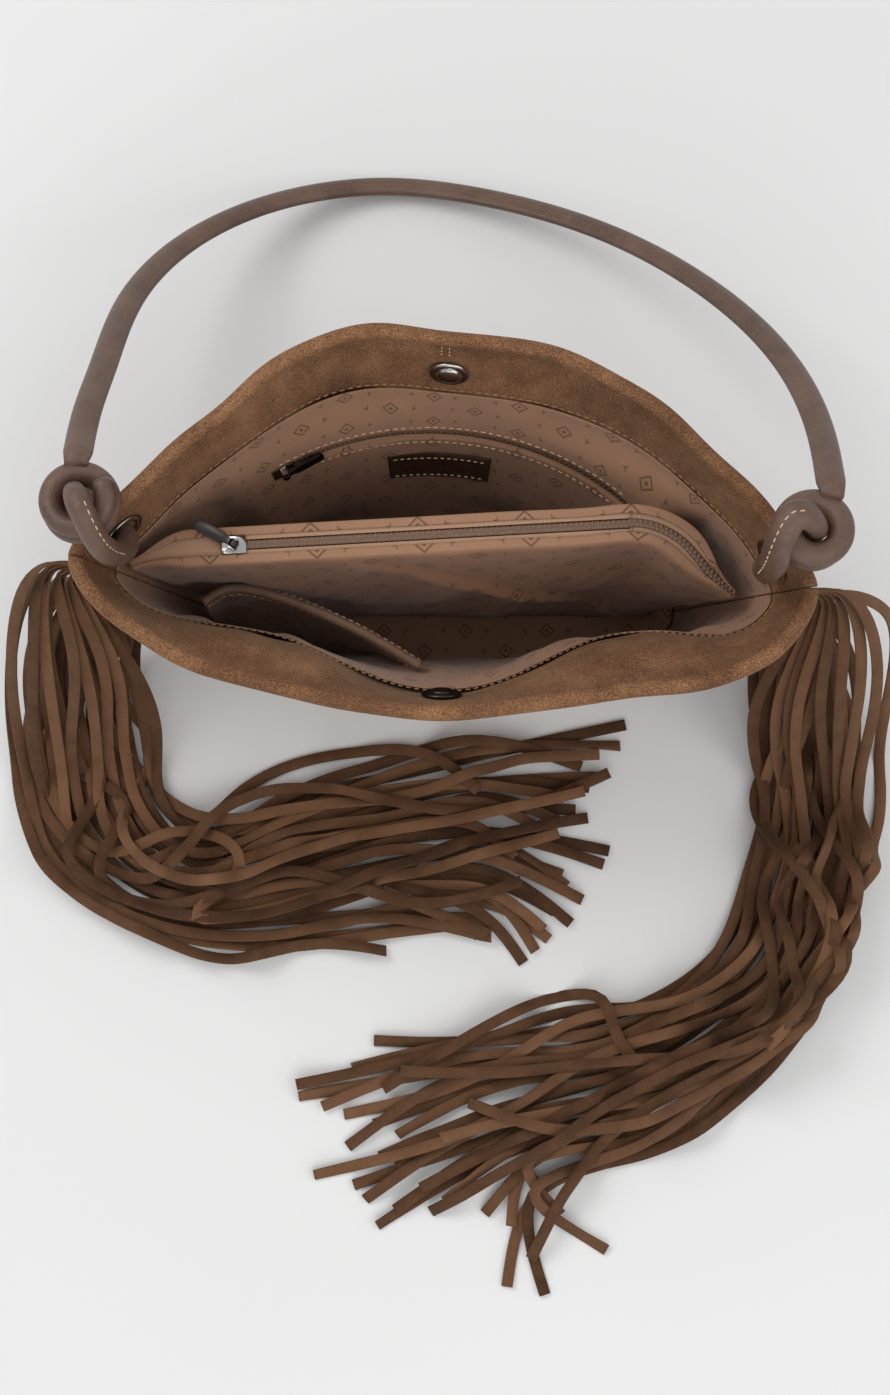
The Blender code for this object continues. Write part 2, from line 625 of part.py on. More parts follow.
def slider(name, frame, yaw, finish):
    """Slider: two plates joined by a thin wedge, two ears and the bar that holds the pull."""
    half_slot = ZIP_SLOT - SLIDER_WEDGE_CLEARANCE
    face = COIL_HEIGHT / 2 + SLIDER_CLEARANCE
    top = face + SLIDER_PLATE
    half = SLIDER_LENGTH / 2
    work = bmesh.new()
    section = [(-SLIDER_HALF_WIDTH, -top), (SLIDER_HALF_WIDTH, -top), (SLIDER_HALF_WIDTH, -face),
               (half_slot, -face), (half_slot, face), (SLIDER_HALF_WIDTH, face), (SLIDER_HALF_WIDTH, top),
               (-SLIDER_HALF_WIDTH, top), (-SLIDER_HALF_WIDTH, face), (-half_slot, face),
               (-half_slot, -face), (-SLIDER_HALF_WIDTH, -face)]
    ends = [[work.verts.new((x, y, z)) for y, z in section] for x in (-half, half)]
    work.faces.new(ends[0][::-1])
    work.faces.new(ends[1])
    for k in range(len(section)):
        n = (k + 1) % len(section)
        work.faces.new((ends[0][k], ends[0][n], ends[1][n], ends[1][k]))
    mesh = bpy.data.meshes.new(name)
    bmesh.ops.recalc_face_normals(work, faces=work.faces)
    work.to_mesh(mesh)
    work.free()
    mesh.materials.append(finish)
    made = bpy.data.objects.new(name, mesh)
    bpy.context.scene.collection.objects.link(made)
    placed(made, frame)
    ear_inner = PULL_EYE_HALF + PULL_CLEARANCE
    ears = bmesh.new()
    for sign in (-1.0, 1.0):
        low, high = sorted((sign * ear_inner, sign * (ear_inner + EAR_THICKNESS)))
        box_mesh(ears, (-EAR_HALF, low, face + SLIDER_PLATE / 3),
                 (EAR_HALF, high, PULL_BAR_RISE + EAR_PAST_BAR))
    cutter = bpy.data.objects.new(name + "_ears", bpy.data.meshes.new(name + "_ears"))
    ears.to_mesh(cutter.data)
    ears.free()
    bpy.context.scene.collection.objects.link(cutter)
    placed(cutter, frame, yaw)
    bar = bmesh.new()
    bmesh.ops.create_cone(bar, cap_ends=True, segments=8, radius1=PULL_BAR_RADIUS, radius2=PULL_BAR_RADIUS,
                          depth=2.0 * (ear_inner + EAR_THICKNESS * 0.7))
    spin = Euler((math.pi / 2, 0.0, 0.0)).to_matrix().to_4x4()
    bmesh.ops.transform(bar, matrix=spin, verts=bar.verts)
    bmesh.ops.translate(bar, verts=bar.verts, vec=(0.0, 0.0, PULL_BAR_RISE))
    rod = bpy.data.objects.new(name + "_bar", bpy.data.meshes.new(name + "_bar"))
    bar.to_mesh(rod.data)
    bar.free()
    bpy.context.scene.collection.objects.link(rod)
    placed(rod, frame, yaw)
    cut(made, cutter, "UNION")
    cut(made, rod, "UNION")
    return made


def pull_tab(name, frame, yaw, direction, finish):
    """Pull: a narrow eye on the slider's bar that widens to a flat tab, its origin on the bar."""
    bore = PULL_BAR_RADIUS + PULL_CLEARANCE
    outer = bore + PULL_EYE_WALL
    work = bmesh.new()
    count = 12
    rings = []
    for y in (-PULL_EYE_HALF, PULL_EYE_HALF):
        rings.append([[work.verts.new((r * math.cos(2 * math.pi * k / count), y,
                                       r * math.sin(2 * math.pi * k / count))) for k in range(count)]
                      for r in (bore, outer)])
    for k in range(count):
        n = (k + 1) % count
        for ring, flip in ((rings[0], False), (rings[1], True)):
            quad = [ring[0][k], ring[0][n], ring[1][n], ring[1][k]]
            work.faces.new(quad[::-1] if flip else quad)
        work.faces.new((rings[0][1][k], rings[0][1][n], rings[1][1][n], rings[1][1][k]))
        work.faces.new((rings[0][0][n], rings[0][0][k], rings[1][0][k], rings[1][0][n]))
    bmesh.ops.recalc_face_normals(work, faces=work.faces)
    mesh = bpy.data.meshes.new(name)
    work.to_mesh(mesh)
    work.free()
    mesh.materials.append(finish)
    made = bpy.data.objects.new(name, mesh)
    bpy.context.scene.collection.objects.link(made)
    start = outer - PULL_EYE_WALL / 2
    half = PULL_THICKNESS / 2
    side = PULL_WIDTH / 2
    upper = [(start, PULL_EYE_HALF), (PULL_NECK, PULL_EYE_HALF), (PULL_SHOULDER, side),
             (PULL_LENGTH - PULL_CORNER, side), (PULL_LENGTH, side - PULL_CORNER)]
    outline = [(x, -y) for x, y in upper] + upper[::-1]
    outline = [(direction * x, y) for x, y in outline]
    tab = flat_plate(name + "_tab", outline, -half, half, finish)
    tidy(tab)
    lifted = list(frame)
    lifted[0] = frame[0] + frame[3] * PULL_BAR_RISE
    placed(made, lifted, yaw)
    placed(tab, lifted, yaw)
    cut(made, tab, "UNION")
    return made


def build_zips(shell, lining, tape, coil, metal):
    """The arc zip of the back pocket and the straight zip of the middle compartment."""
    made = {}
    angles = np.linspace(BACK_ZIP_START, BACK_ZIP_END, ZIP_STATIONS)
    made.update(zip_chain("back_zip", [back_zip_frame(a) for a in angles], tape, coil))
    past = BACK_ZIP_STAND / BACK_ZIP_RADIUS
    slit_angles = np.linspace(BACK_ZIP_START + past, BACK_ZIP_END - past, ZIP_STATIONS)
    slit = band("back_zip_slit", [back_zip_frame(a) for a in slit_angles], (-BACK_ZIP_SLIT, BACK_ZIP_SLIT),
                (-BACK_ZIP_CUT, BACK_ZIP_CUT), lining)
    cut(shell["lining_back"], slit)
    end = SLIDER_LENGTH / 2 / BACK_ZIP_RADIUS
    frame = back_zip_frame(BACK_ZIP_START - end)
    made["back_zip_slider"] = slider("back_zip_slider", frame, 0.0, metal)
    made["back_zip_pull"] = pull_tab("back_zip_pull", frame, 0.0, 1.0, metal)
    ends = (-DIVIDER_ZIP_HALF, DIVIDER_ZIP_HALF)
    made.update(zip_chain("divider_zip", [divider_zip_frame(s) for s in ends], tape, coil))
    frame = divider_zip_frame(-DIVIDER_ZIP_HALF + SLIDER_LENGTH / 2)
    made["divider_zip_slider"] = slider("divider_zip_slider", frame, -DIVIDER_PULL_YAW, metal)
    made["divider_zip_pull"] = pull_tab("divider_zip_pull", frame, -DIVIDER_PULL_YAW, -1.0, metal)
    return made


# Middle compartment and pockets

def divider_wall(name, sign, finish):
    """One wall of the middle compartment: a folded lip over the zip tape, then down to the base."""
    columns = DIVIDER_COLUMNS
    top = curve_through(DIVIDER_TOP, columns + 1)
    run = np.gradient(top, axis=0)
    run[:, 2] = 0.0
    run /= np.linalg.norm(run, axis=1)[:, None]
    side = np.stack([-run[:, 1], run[:, 0], np.zeros(len(run))], axis=1) * sign
    share = np.linspace(0.0, 1.0, columns + 1)
    taper = smooth_step(share / DIVIDER_TAPER[0]) * smooth_step((1.0 - share) / DIVIDER_TAPER[1])
    narrow = (DIVIDER_TIP + (1.0 - DIVIDER_TIP) * taper)[:, None]
    foot_z = BASE_THICKNESS + 2.0 * GAP + 2.0 * LINING
    foot_x = -DIVIDER_FOOT_LENGTH + 2.0 * DIVIDER_FOOT_LENGTH * share
    foot = np.stack([foot_x, np.full(columns + 1, sign * DIVIDER_FOOT_HALF), np.full(columns + 1, foot_z)], 1)
    lift = np.array([0.0, 0.0, TAPE_THICKNESS / 2 + GAP + LINING])
    lip = top + side * DIVIDER_LIP * narrow + lift
    shoulder = top + side * DIVIDER_HALF_TOP * narrow + lift
    rows = [lip, shoulder]
    belly = DIVIDER_BELLY * (1.0 if sign < 0.0 else DIVIDER_BACK_BELLY) * np.sin(math.pi * share)[:, None]
    for t in np.linspace(0.0, 1.0, DIVIDER_ROWS + 1)[1:]:
        rows.append(shoulder + (foot - shoulder) * t + side * belly * math.sin(math.pi * t))
    outer = np.array(rows)
    along = np.gradient(outer, axis=1)
    down = np.gradient(outer, axis=0)
    normal = np.cross(along, down) * -sign
    normal /= np.linalg.norm(normal, axis=2)[..., None]
    return sheet_solid(name, outer, outer + normal * LINING, finish)


def build_pockets(lining, label_leather, binding):
    """Middle compartment, slip pocket, the hidden pocket bag and the label."""
    made = {"divider_front": divider_wall("divider_front", -1.0, lining),
            "divider_back": divider_wall("divider_back", 1.0, lining)}
    # Slip pocket: its foot follows the front lining and its mouth sags open
    mouth = curve_through(SLIP_MOUTH, SLIP_COLUMNS + 1)
    phi = np.linspace(*SLIP_FOOT_PHI, SLIP_COLUMNS + 1)
    foot = wall(phi, np.full(SLIP_COLUMNS + 1, SLIP_FOOT), LINING_DEPTH + LINING + SLIP_STAND)
    bow = np.sin(math.pi * np.linspace(0.0, 1.0, SLIP_COLUMNS + 1))[:, None] * np.array([0.0, SLIP_SAG, 0.0])
    down = np.linspace(0.0, 1.0, SLIP_ROWS + 1)
    outer = np.array([mouth + (foot - mouth) * t + bow * math.sin(math.pi * t) for t in down])
    normal = np.cross(np.gradient(outer, axis=1), np.gradient(outer, axis=0))
    normal /= np.linalg.norm(normal, axis=2)[..., None]
    made["slip_pocket"] = sheet_solid("slip_pocket", outer, outer + normal * LINING, lining)
    edge = mouth + (mouth - outer[1]) / np.linalg.norm(mouth - outer[1], axis=1)[:, None] * (
        BINDING_RADIUS + BINDING_GAP)
    made["slip_pocket_binding"] = rope("slip_pocket_binding", edge + normal[0] * LINING / 2, BINDING_RADIUS,
                                       binding, resolution=1)
    # Pocket bag between the lining and the back panel
    made["back_pocket_bag"] = wall_sheet("back_pocket_bag", "back", POCKET_BAG_FOOT, POCKET_BAG_TOP,
                                         SUEDE + 1.5 * LAYER_GAP, POCKET_BAG_THICKNESS, lining, trim=5)
    # Label on the back lining, under the zip
    angle = np.linspace(LABEL_MIDDLE + LABEL_HALF_ANGLE, LABEL_MIDDLE - LABEL_HALF_ANGLE, 7)
    height = np.array([LABEL_LOW, LABEL_HIGH])
    grid_angle, grid_z = np.meshgrid(angle, height)
    levels = []
    for inward in (0.0, LABEL_THICKNESS):
        radius = zip_radius(grid_z) - TAPE_THICKNESS / 2 - BACK_ZIP_STAND - LINING - LABEL_STAND - inward
        levels.append(np.stack([BACK_ZIP_CENTRE[0] + radius * np.cos(grid_angle),
                                BACK_ZIP_CENTRE[1] + radius * np.sin(grid_angle), grid_z], axis=2))
    made["label_patch"] = sheet_solid("label_patch", levels[0], levels[1], label_leather)
    return made


# Snaps and eyelets

def wall_spot(phi, height, depth):
    """A place on the wall at a height, and the direction out of the bag there."""
    rim = cubic(RIM_KNOTS, RIM_LOOP, np.array([phi % 2.0]), closed=True)[0]
    v = np.array([height / rim[2]])
    phi = np.array([phi])
    return wall(phi, v, depth)[0], wall_normal(phi, v)[0]


def build_snaps(metal):
    """The two halves of the magnetic snap."""
    made = {}
    depth = SUEDE + LAYER_GAP + FACING_THICKNESS + SNAP_STAND
    for name, phi, height in (("snap_back", 0.5, SNAP_BACK_HEIGHT), ("snap_front", 1.5, SNAP_FRONT_HEIGHT)):
        place, out = wall_spot(phi, height, depth)
        r, t = SNAP_RADIUS, SNAP_THICKNESS
        profile = [(0.0, 0.0), (r * 0.93, 0.0), (r, t * 0.2), (r, t * 0.4), (r * 0.87, t * 0.66),
                   (r * 0.55, t * 0.93), (0.0, t)]
        made[name] = turned(name, profile, metal, 20, place, -out)
    return made


def build_eyelets(shell, metal):
    """Eyelets through the back panel near its tips, each with a washer outside."""
    made = {}
    stack = SUEDE + LAYER_GAP + FACING_THICKNESS
    hole = EYELET_BORE + EYELET_WALL + EYELET_HOLE_CLEARANCE
    reach = EYELET_CUT_REACH
    for side, phi in (("left", LEFT_EYELET_PHI), ("right", RIGHT_EYELET_PHI)):
        place, out = wall_spot(phi, EYELET_HEIGHT, stack / 2)
        cutter = turned("eyelet_hole_" + side, [(0.0, -reach), (hole, -reach), (hole, reach), (0.0, reach)],
                        metal, 20, place, out)
        cut(shell["panel_back"], cutter)
        cut(shell["facing_back"], cutter)
        barrel = EYELET_BORE + EYELET_WALL
        inner = -stack / 2 - EYELET_STAND
        outer = stack / 2 + EYELET_STAND
        edge = inner - EYELET_FLANGE_THICKNESS
        end = outer + EYELET_FLANGE_THICKNESS + EYELET_ROLL
        profile = [(EYELET_BORE, edge), (EYELET_FLANGE, edge), (EYELET_FLANGE, inner), (barrel, inner),
                   (barrel, end), (EYELET_BORE, end)]
        made["eyelet_" + side] = turned("eyelet_" + side, profile, metal, 20, place, out)
        ring = barrel + GAP
        profile = [(ring, outer), (EYELET_FLANGE, outer), (EYELET_FLANGE, outer + EYELET_FLANGE_THICKNESS),
                   (ring, outer + EYELET_FLANGE_THICKNESS)]
        made["eyelet_washer_" + side] = turned("eyelet_washer_" + side, profile, metal, 20, place, out)
    return made


# Strap

def knot_route(phi, centre, turning):
    """The strap's knot: down through its ring, over the rim, out through the eyelet and round twice."""
    eye, out = wall_spot(phi, EYELET_HEIGHT, SUEDE)
    flat = np.array([out[0], out[1], 0.0])
    flat /= np.linalg.norm(flat)
    up = np.array([0.0, 0.0, 1.0])
    rim_spot, _ = wall_spot(phi, RIM_LOOP[0][2], SUEDE)
    ring = np.array(centre)
    start = math.atan2(flat[1], flat[0])
    turn = np.linspace(0.0, turning, KNOT_TURN_STATIONS)
    rise = KNOT_PITCH * np.abs(turn) / (2.0 * math.pi)
    wraps = np.stack([ring[0] + KNOT_RING_RADIUS * np.cos(start + turn),
                      ring[1] + KNOT_RING_RADIUS * np.sin(start + turn), ring[2] + rise], axis=1)
    inside = [ring + up * (rise[-1] + KNOT_START_RISE), ring + up * KNOT_DIP]
    over = [rim_spot + flat * (LEG_STANDOFF * across) + up * lift for across, lift in LEG_OVER_RIM]
    through = [eye + out * (LEG_STANDOFF * across) + up * lift for across, lift in LEG_THROUGH_EYE]
    points = np.array(inside + over + through)
    join = wraps[0] - up * KNOT_JOIN_DROP
    tail = wraps[-1] + (wraps[-1] - wraps[-2]) * KNOT_TAIL
    whole = np.concatenate([points, [join], wraps[1:], [tail]])
    return curve_through(whole, KNOT_STATIONS)


def build_strap(leather):
    """The knots at both eyelets and the long strap that swings between them."""
    made = {}
    made["knot_left"] = rope("knot_left", knot_route(LEFT_EYELET_PHI, LEFT_KNOT, LEFT_KNOT_TURN),
                             KNOT_ROPE_RADIUS, leather)
    made["knot_right"] = rope("knot_right", knot_route(RIGHT_EYELET_PHI, RIGHT_KNOT, RIGHT_KNOT_TURN),
                              KNOT_ROPE_RADIUS, leather)
    section = guide_ring("strap_section", STRAP_WIDTH / 2, STRAP_THICKNESS / 2, STRAP_SIDES)
    route = curve_through(STRAP_ROUTE, STRAP_STATIONS)
    points = np.stack([route[:, 0], route[:, 1], np.zeros(len(route))], axis=1)
    handle = rope("handle", points, 0.0, leather, section=section)
    handle.location = STRAP_PIVOT
    handle.rotation_euler = (-STRAP_LIE, 0.0, STRAP_YAW)
    made["handle"] = handle
    return made


# Fringe

class Pile:
    """Heights of what already lies on the table, on a fine square grid."""

    def __init__(self, low, high, cell=0.001):
        self.low = np.array(low)
        self.cell = cell
        shape = np.ceil((np.array(high) - self.low) / cell).astype(int) + 1
        self.top = np.zeros(shape)

    def cells(self, points):
        place = np.rint((points - self.low) / self.cell).astype(int)
        last = np.array(self.top.shape) - 1
        place = np.clip(place, 0, last)
        return place[..., 0], place[..., 1]

    def under(self, points):
        """Highest thing under each row of footprint points."""
        return self.top[self.cells(points)].max(axis=1)

    def lay(self, points, heights):
        np.maximum.at(self.top, self.cells(points), heights)


def seam_line(tip, heights):
    """The side seam between the two panels, at some heights."""
    phi = np.full(len(heights), float(tip))
    rim_z = RIM_LOOP[0 if tip == 0 else RIGHT_TIP][2]
    return wall_point(phi, heights / rim_z)


def gate_points(gates, share):
    """Where a strip crosses each gate, for its share of the spread at each."""
    middle = np.array([g[0] for g in gates])
    half = np.array([g[1] for g in gates])
    run = np.gradient(middle, axis=0)
    run /= np.linalg.norm(run, axis=1)[:, None]
    across = np.stack([-run[:, 1], run[:, 0]], axis=1)
    return middle + across * (half * share)[:, None]


def strip_plan(start, outward, gates, end, share):
    """A strip's route seen from above, as fine points."""
    points = [start, start + np.array([outward * STRIP_STUB, 0.0])]
    points += list(gate_points(gates, share)) + [np.array(end)]
    return curve_through(np.array(points), STRIP_FINE)


def strip_shares(layer, lane, gates):
    """A strip's place across the fringe at each gate: its own lane, with a little wander."""
    lane_width = 2.0 / STRIP_LANES
    base = -1.0 + lane_width * (lane + 0.5)
    gate = np.arange(gates)
    wander = np.sin(2.1 * layer + 0.15 * lane + 1.3 * gate) * STRIP_WANDER * layer * lane_width
    return np.clip(base + wander, -1.0, 1.0)


def build_fringe(name, tip, outward, gates, ends, finish):
    """A header sewn in the side seam, cut into strips that fall to the table and pile up there."""
    centre = HEADER_FOOT + STRIP_PITCH * (np.arange(STRIP_COUNT) + 0.5)
    edges = np.sort(np.concatenate([centre - STRIP_WIDTH / 2, centre + STRIP_WIDTH / 2]))
    seam = seam_line(tip, edges)
    tuck = -outward * HEADER_TUCK
    half = STRIP_THICKNESS / 2
    verts = []
    for point in seam:
        for x in (point[0] + tuck, point[0] + outward * HEADER_REACH):
            for y in (point[1] - half, point[1] + half):
                verts.append((x, y, point[2]))
    faces = [(0, 1, 3, 2), tuple(4 * (len(seam) - 1) + k for k in (2, 3, 1, 0))]
    for k in range(len(seam) - 1):
        low, high = 4 * k, 4 * (k + 1)
        faces += [(low, low + 2, high + 2, high), (low + 3, low + 1, high + 1, high + 3),
                  (low + 1, low, high, high + 1)]
        if k % 2:
            faces.append((low + 2, low + 3, high + 3, high + 2))
    table = Pile(*TABLE)
    for j in range(STRIP_COUNT):
        layer, lane = divmod(j, STRIP_LANES)
        root = seam_line(tip, centre[j:j + 1])[0]
        start = np.array([root[0] + outward * HEADER_REACH, root[1]])
        share = strip_shares(layer, lane, len(gates)) * outward
        end = ends[lane * STRIP_LAYERS + layer]
        plan = strip_plan(start, outward, gates, end, share)
        verts, faces = add_strip(verts, faces, 4 * (2 * j), plan, centre[j], table, outward)
    return tidy(new_object(name, verts, faces, finish, smooth=False), merge=1e-7)


def drape(dist, need, places, z):
    """Lift a strip's joints until its flat lengths clear what lies under it."""
    slot = np.clip(np.searchsorted(places, dist, side="right") - 1, 0, len(places) - 2)
    along = (dist - places[slot]) / (places[slot + 1] - places[slot])
    for _ in range(DRAPE_STEPS):
        short = need - (z[slot] * (1.0 - along) + z[slot + 1] * along)
        worst = np.argmax(short)
        if short[worst] < 1e-6:
            break
        k = slot[worst]
        t = along[worst]
        push = short[worst] / ((1.0 - t) ** 2 + t ** 2)
        z[k] += push * (1.0 - t)
        z[k + 1] += push * t
    return z


def add_strip(verts, faces, corner, plan, height, table, outward):
    """Lay one strip on the pile and join it to the header's edge."""
    step = np.linalg.norm(np.diff(plan, axis=0), axis=1)
    dist = np.concatenate([[0.0], np.cumsum(step)])
    run = np.gradient(plan, axis=0)
    run /= np.linalg.norm(run, axis=1)[:, None]
    across = np.stack([-run[:, 1], run[:, 0]], axis=1) * outward
    roll = (math.pi / 2) * (1.0 - smooth_step(dist / STRIP_TWIST))
    landing = STRIP_LANDING + STRIP_LANDING_PER_HEIGHT * height
    fall = height * (1.0 - smooth_step(dist / landing))
    steep = np.sqrt(1.0 + np.gradient(fall, dist) ** 2)
    tall = np.sin(roll) * STRIP_WIDTH / 2 + np.cos(roll) * STRIP_THICKNESS / 2 * steep
    wide = np.cos(roll) * STRIP_WIDTH / 2 + np.sin(roll) * STRIP_THICKNESS / 2
    side = np.linspace(-1.0, 1.0, FOOTPRINT_POINTS)
    reach = wide + STRIP_CLEARANCE
    foot = plan[:, None, :] + across[:, None, :] * (side[None, :, None] * reach[:, None, None])
    need = np.maximum(table.under(foot), FLOOR_CLEARANCE) + STRIP_CLEARANCE + tall
    need[dist < STRIP_FREE] = 0.0
    # Joints of the strip, closer together where it twists and falls
    share = np.linspace(0.0, 1.0, STRIP_SEGMENTS) ** STRIP_CROWDING
    places = np.concatenate([[0.0], STRIP_STUB + (dist[-1] - STRIP_STUB) * share])
    z = drape(dist, need, places, np.interp(places, dist, fall))
    z[0] = height
    x = np.interp(places, dist, plan[:, 0])
    y = np.interp(places, dist, plan[:, 1])
    real = np.interp(dist, places, z)
    line = np.stack([np.interp(dist, places, x), np.interp(dist, places, y)], axis=1)
    foot = line[:, None, :] + across[:, None, :] * (side[None, :, None] * wide[:, None, None])
    table.lay(foot, (real + tall)[:, None] * np.ones((1, len(side))))
    ring = [corner + 2, corner + 3, corner + 7, corner + 6]
    knots = np.stack([x, y, z], axis=1)
    tangent = np.gradient(knots, axis=0)
    tangent /= np.linalg.norm(tangent, axis=1)[:, None]
    for k in range(1, STRIP_SEGMENTS + 1):
        flat = np.array([-tangent[k, 1], tangent[k, 0], 0.0])
        flat = flat / np.linalg.norm(flat) * outward
        over = np.cross(tangent[k], flat)
        over *= np.sign(over[2]) or 1.0
        angle = np.interp(places[k], dist, roll)
        width = flat * math.cos(angle) * -1.0 + over * math.sin(angle)
        thick = np.cross(width, tangent[k])
        first = len(verts)
        for w, t in ((-1, -1), (-1, 1), (1, 1), (1, -1)):
            verts.append(tuple(knots[k] + width * w * STRIP_WIDTH / 2
                               + thick * t * outward * STRIP_THICKNESS / 2))
        new = [first, first + 1, first + 2, first + 3]
        for c in range(4):
            n = (c + 1) % 4
            faces.append((ring[c], ring[n], new[n], new[c]))
        ring = new
    faces.append(tuple(ring))
    return verts, faces


def main():
    clear_scene()
    suede = material("suede", (0.27, 0.155, 0.078), 0.9)
    fringe = material("fringe_suede", (0.20, 0.105, 0.052), 0.9)
    leather = material("strap_leather", (0.16, 0.095, 0.068), 0.5)
    lining = material("lining", (0.42, 0.25, 0.15), 0.85)
    label = material("label_leather", (0.10, 0.050, 0.030), 0.5)
    tape = material("zip_tape", (0.45, 0.27, 0.16), 0.85)
    coil = material("zip_coil", (0.30, 0.20, 0.13), 0.5)
    metal = material("gunmetal", (0.16, 0.15, 0.15), 0.25, 1.0)
    shell = build_shell(suede, lining)
    build_zips(shell, lining, tape, coil, metal)
    build_pockets(lining, label, leather)
    build_snaps(metal)
    build_eyelets(shell, metal)
    build_strap(leather)
    build_fringe("fringe_left", 0, -1.0, LEFT_GATES, LEFT_ENDS, fringe)
    build_fringe("fringe_right", 1, 1.0, RIGHT_GATES, RIGHT_ENDS, fringe)


main()
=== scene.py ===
"""Looks for the fringed suede bag: suede, leather, patterned lining, zips, metal and stitching.

Metres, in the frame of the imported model: +Z up, +X to the bag's right, -Y to its front.
"""
import math

import bmesh
import bpy
import numpy as np
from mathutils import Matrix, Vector


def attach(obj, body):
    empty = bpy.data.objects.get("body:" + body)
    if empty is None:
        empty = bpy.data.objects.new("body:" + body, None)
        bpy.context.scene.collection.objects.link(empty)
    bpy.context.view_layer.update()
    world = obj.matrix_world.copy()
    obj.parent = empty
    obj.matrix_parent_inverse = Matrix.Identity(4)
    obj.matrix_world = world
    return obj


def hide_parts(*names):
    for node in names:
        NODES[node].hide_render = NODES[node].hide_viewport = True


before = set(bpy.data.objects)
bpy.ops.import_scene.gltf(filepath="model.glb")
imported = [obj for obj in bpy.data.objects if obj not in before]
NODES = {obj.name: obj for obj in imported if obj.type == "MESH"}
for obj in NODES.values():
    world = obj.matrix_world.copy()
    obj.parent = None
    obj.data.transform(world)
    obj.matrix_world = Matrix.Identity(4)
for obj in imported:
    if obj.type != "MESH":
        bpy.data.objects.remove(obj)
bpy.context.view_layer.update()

# Body of the bag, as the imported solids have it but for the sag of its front
RIM = [  # one closed loop, from the left tip along the back to the right tip and home along the front
    (-0.165, -0.006, 0.193), (-0.150, 0.014, 0.193), (-0.126, 0.038, 0.195), (-0.103, 0.057, 0.198),
    (-0.080, 0.076, 0.200), (-0.057, 0.090, 0.201), (-0.030, 0.096, 0.201), (0.000, 0.093, 0.199),
    (0.038, 0.088, 0.200), (0.070, 0.077, 0.200), (0.100, 0.057, 0.198), (0.124, 0.034, 0.196),
    (0.145, 0.012, 0.194), (0.155, -0.003, 0.193), (0.163, -0.020, 0.193),
    (0.157, -0.037, 0.193), (0.142, -0.053, 0.193), (0.112, -0.064, 0.192), (0.070, -0.069, 0.190),
    (0.030, -0.075, 0.189), (-0.010, -0.077, 0.188), (-0.048, -0.072, 0.188), (-0.082, -0.064, 0.189),
    (-0.108, -0.056, 0.190), (-0.134, -0.043, 0.191), (-0.155, -0.026, 0.192),
]
RIGHT_TIP = 14
BASE_HALF_LENGTH = 0.120
BASE_HALF_WIDTH = 0.030
BASE_SQUARENESS = 2.6
BACK_FLARE = 0.85
FRONT_FLARE = 1.5
FOLD_DEPTH = 0.0015
FRONT_SAG_LEFT = 0.013
FRONT_SAG_RIGHT = 0.015
FOLD_COUNT = 3
SUEDE = 0.0016
FACING_FOOT = 0.76
SHELL_THICKNESS = 0.0038        # outer suede and facing together, at the rim
SEAM_HALF = 0.00025             # each half of the bag is drawn this far off its side seams
LINING_DEPTH = 0.0042
LINING = 0.0006
LINING_FOOT = 0.035

# Zips
BACK_ZIP_CENTRE = np.array([-0.0077, -0.0763])
BACK_ZIP_RADIUS = 0.1440
BACK_ZIP_HEIGHT = 0.118
BACK_ZIP_LEAN = 0.30
BACK_ZIP_START = math.radians(121.0)
BACK_ZIP_END = math.radians(49.0)
ZIP_SLOT = 0.0005
COIL_WIDTH = 0.0016
TOOTH_PITCH = 0.0012

# Middle compartment
DIVIDER_TOP = [
    (-0.144, -0.003, 0.150), (-0.125, 0.004, 0.150), (-0.106, 0.006, 0.150), (-0.057, 0.0088, 0.150),
    (-0.008, 0.0115, 0.150), (0.040, 0.0142, 0.150), (0.070, 0.0159, 0.150), (0.089, 0.017, 0.150),
    (0.108, 0.010, 0.146), (0.122, -0.004, 0.140), (0.134, -0.014, 0.134),
]
DIVIDER_HALF_TOP = 0.0090
DIVIDER_LIP = 0.0044
DIVIDER_FOOT_HALF = 0.0030
DIVIDER_FOOT_LENGTH = 0.098
DIVIDER_FOOT_HEIGHT = 0.0048
DIVIDER_ZIP_HALF = 0.094

# Slip pocket
SLIP_MOUTH = [
    (-0.114, -0.014, 0.112), (-0.104, -0.008, 0.112), (-0.090, -0.008, 0.111), (-0.072, -0.013, 0.110),
    (-0.052, -0.021, 0.108), (-0.032, -0.031, 0.106), (-0.012, -0.043, 0.104),
]
SLIP_FOOT = 0.105
SLIP_FOOT_PHI = (1.905, 1.560)
BINDING_RADIUS = 0.0024

# Label
LABEL_MIDDLE = math.radians(88.0)
LABEL_HALF_ANGLE = math.radians(10.6)
LABEL_LOW = 0.080
LABEL_HIGH = 0.102

# Strap and knots
STRAP_LIE = math.radians(46.7)
STRAP_YAW = math.radians(-2.35)
STRAP_PIVOT = np.array([0.004, 0.0282, 0.2145])
STRAP_PAST_PIVOT = 0.0028
STRAP_INTO_KNOT = 0.0075        # shown past the solid's end, under the knot's wraps
STRAP_ROUTE = [
    (-0.163, -STRAP_PAST_PIVOT), (-0.1645, 0.0353), (-0.1635, 0.0757), (-0.160, 0.1433),
    (-0.134, 0.221), (-0.088, 0.2704), (-0.045, 0.2866), (0.007, 0.2785), (0.069, 0.2432),
    (0.117, 0.1877), (0.151, 0.115), (0.163, 0.0414), (0.163, -STRAP_PAST_PIVOT),
]
STRAP_HALF_WIDTH = 0.0060
STRAP_HALF_THICKNESS = 0.0044
KNOT_HALF_WIDTH = 0.0056
KNOT_HALF_THICKNESS = 0.0048
KNOT_RING_RADIUS = 0.0122
KNOT_PITCH = 0.0112
LEFT_KNOT = (-0.157, 0.013, 0.2065)
LEFT_KNOT_TURN = math.radians(605.0)
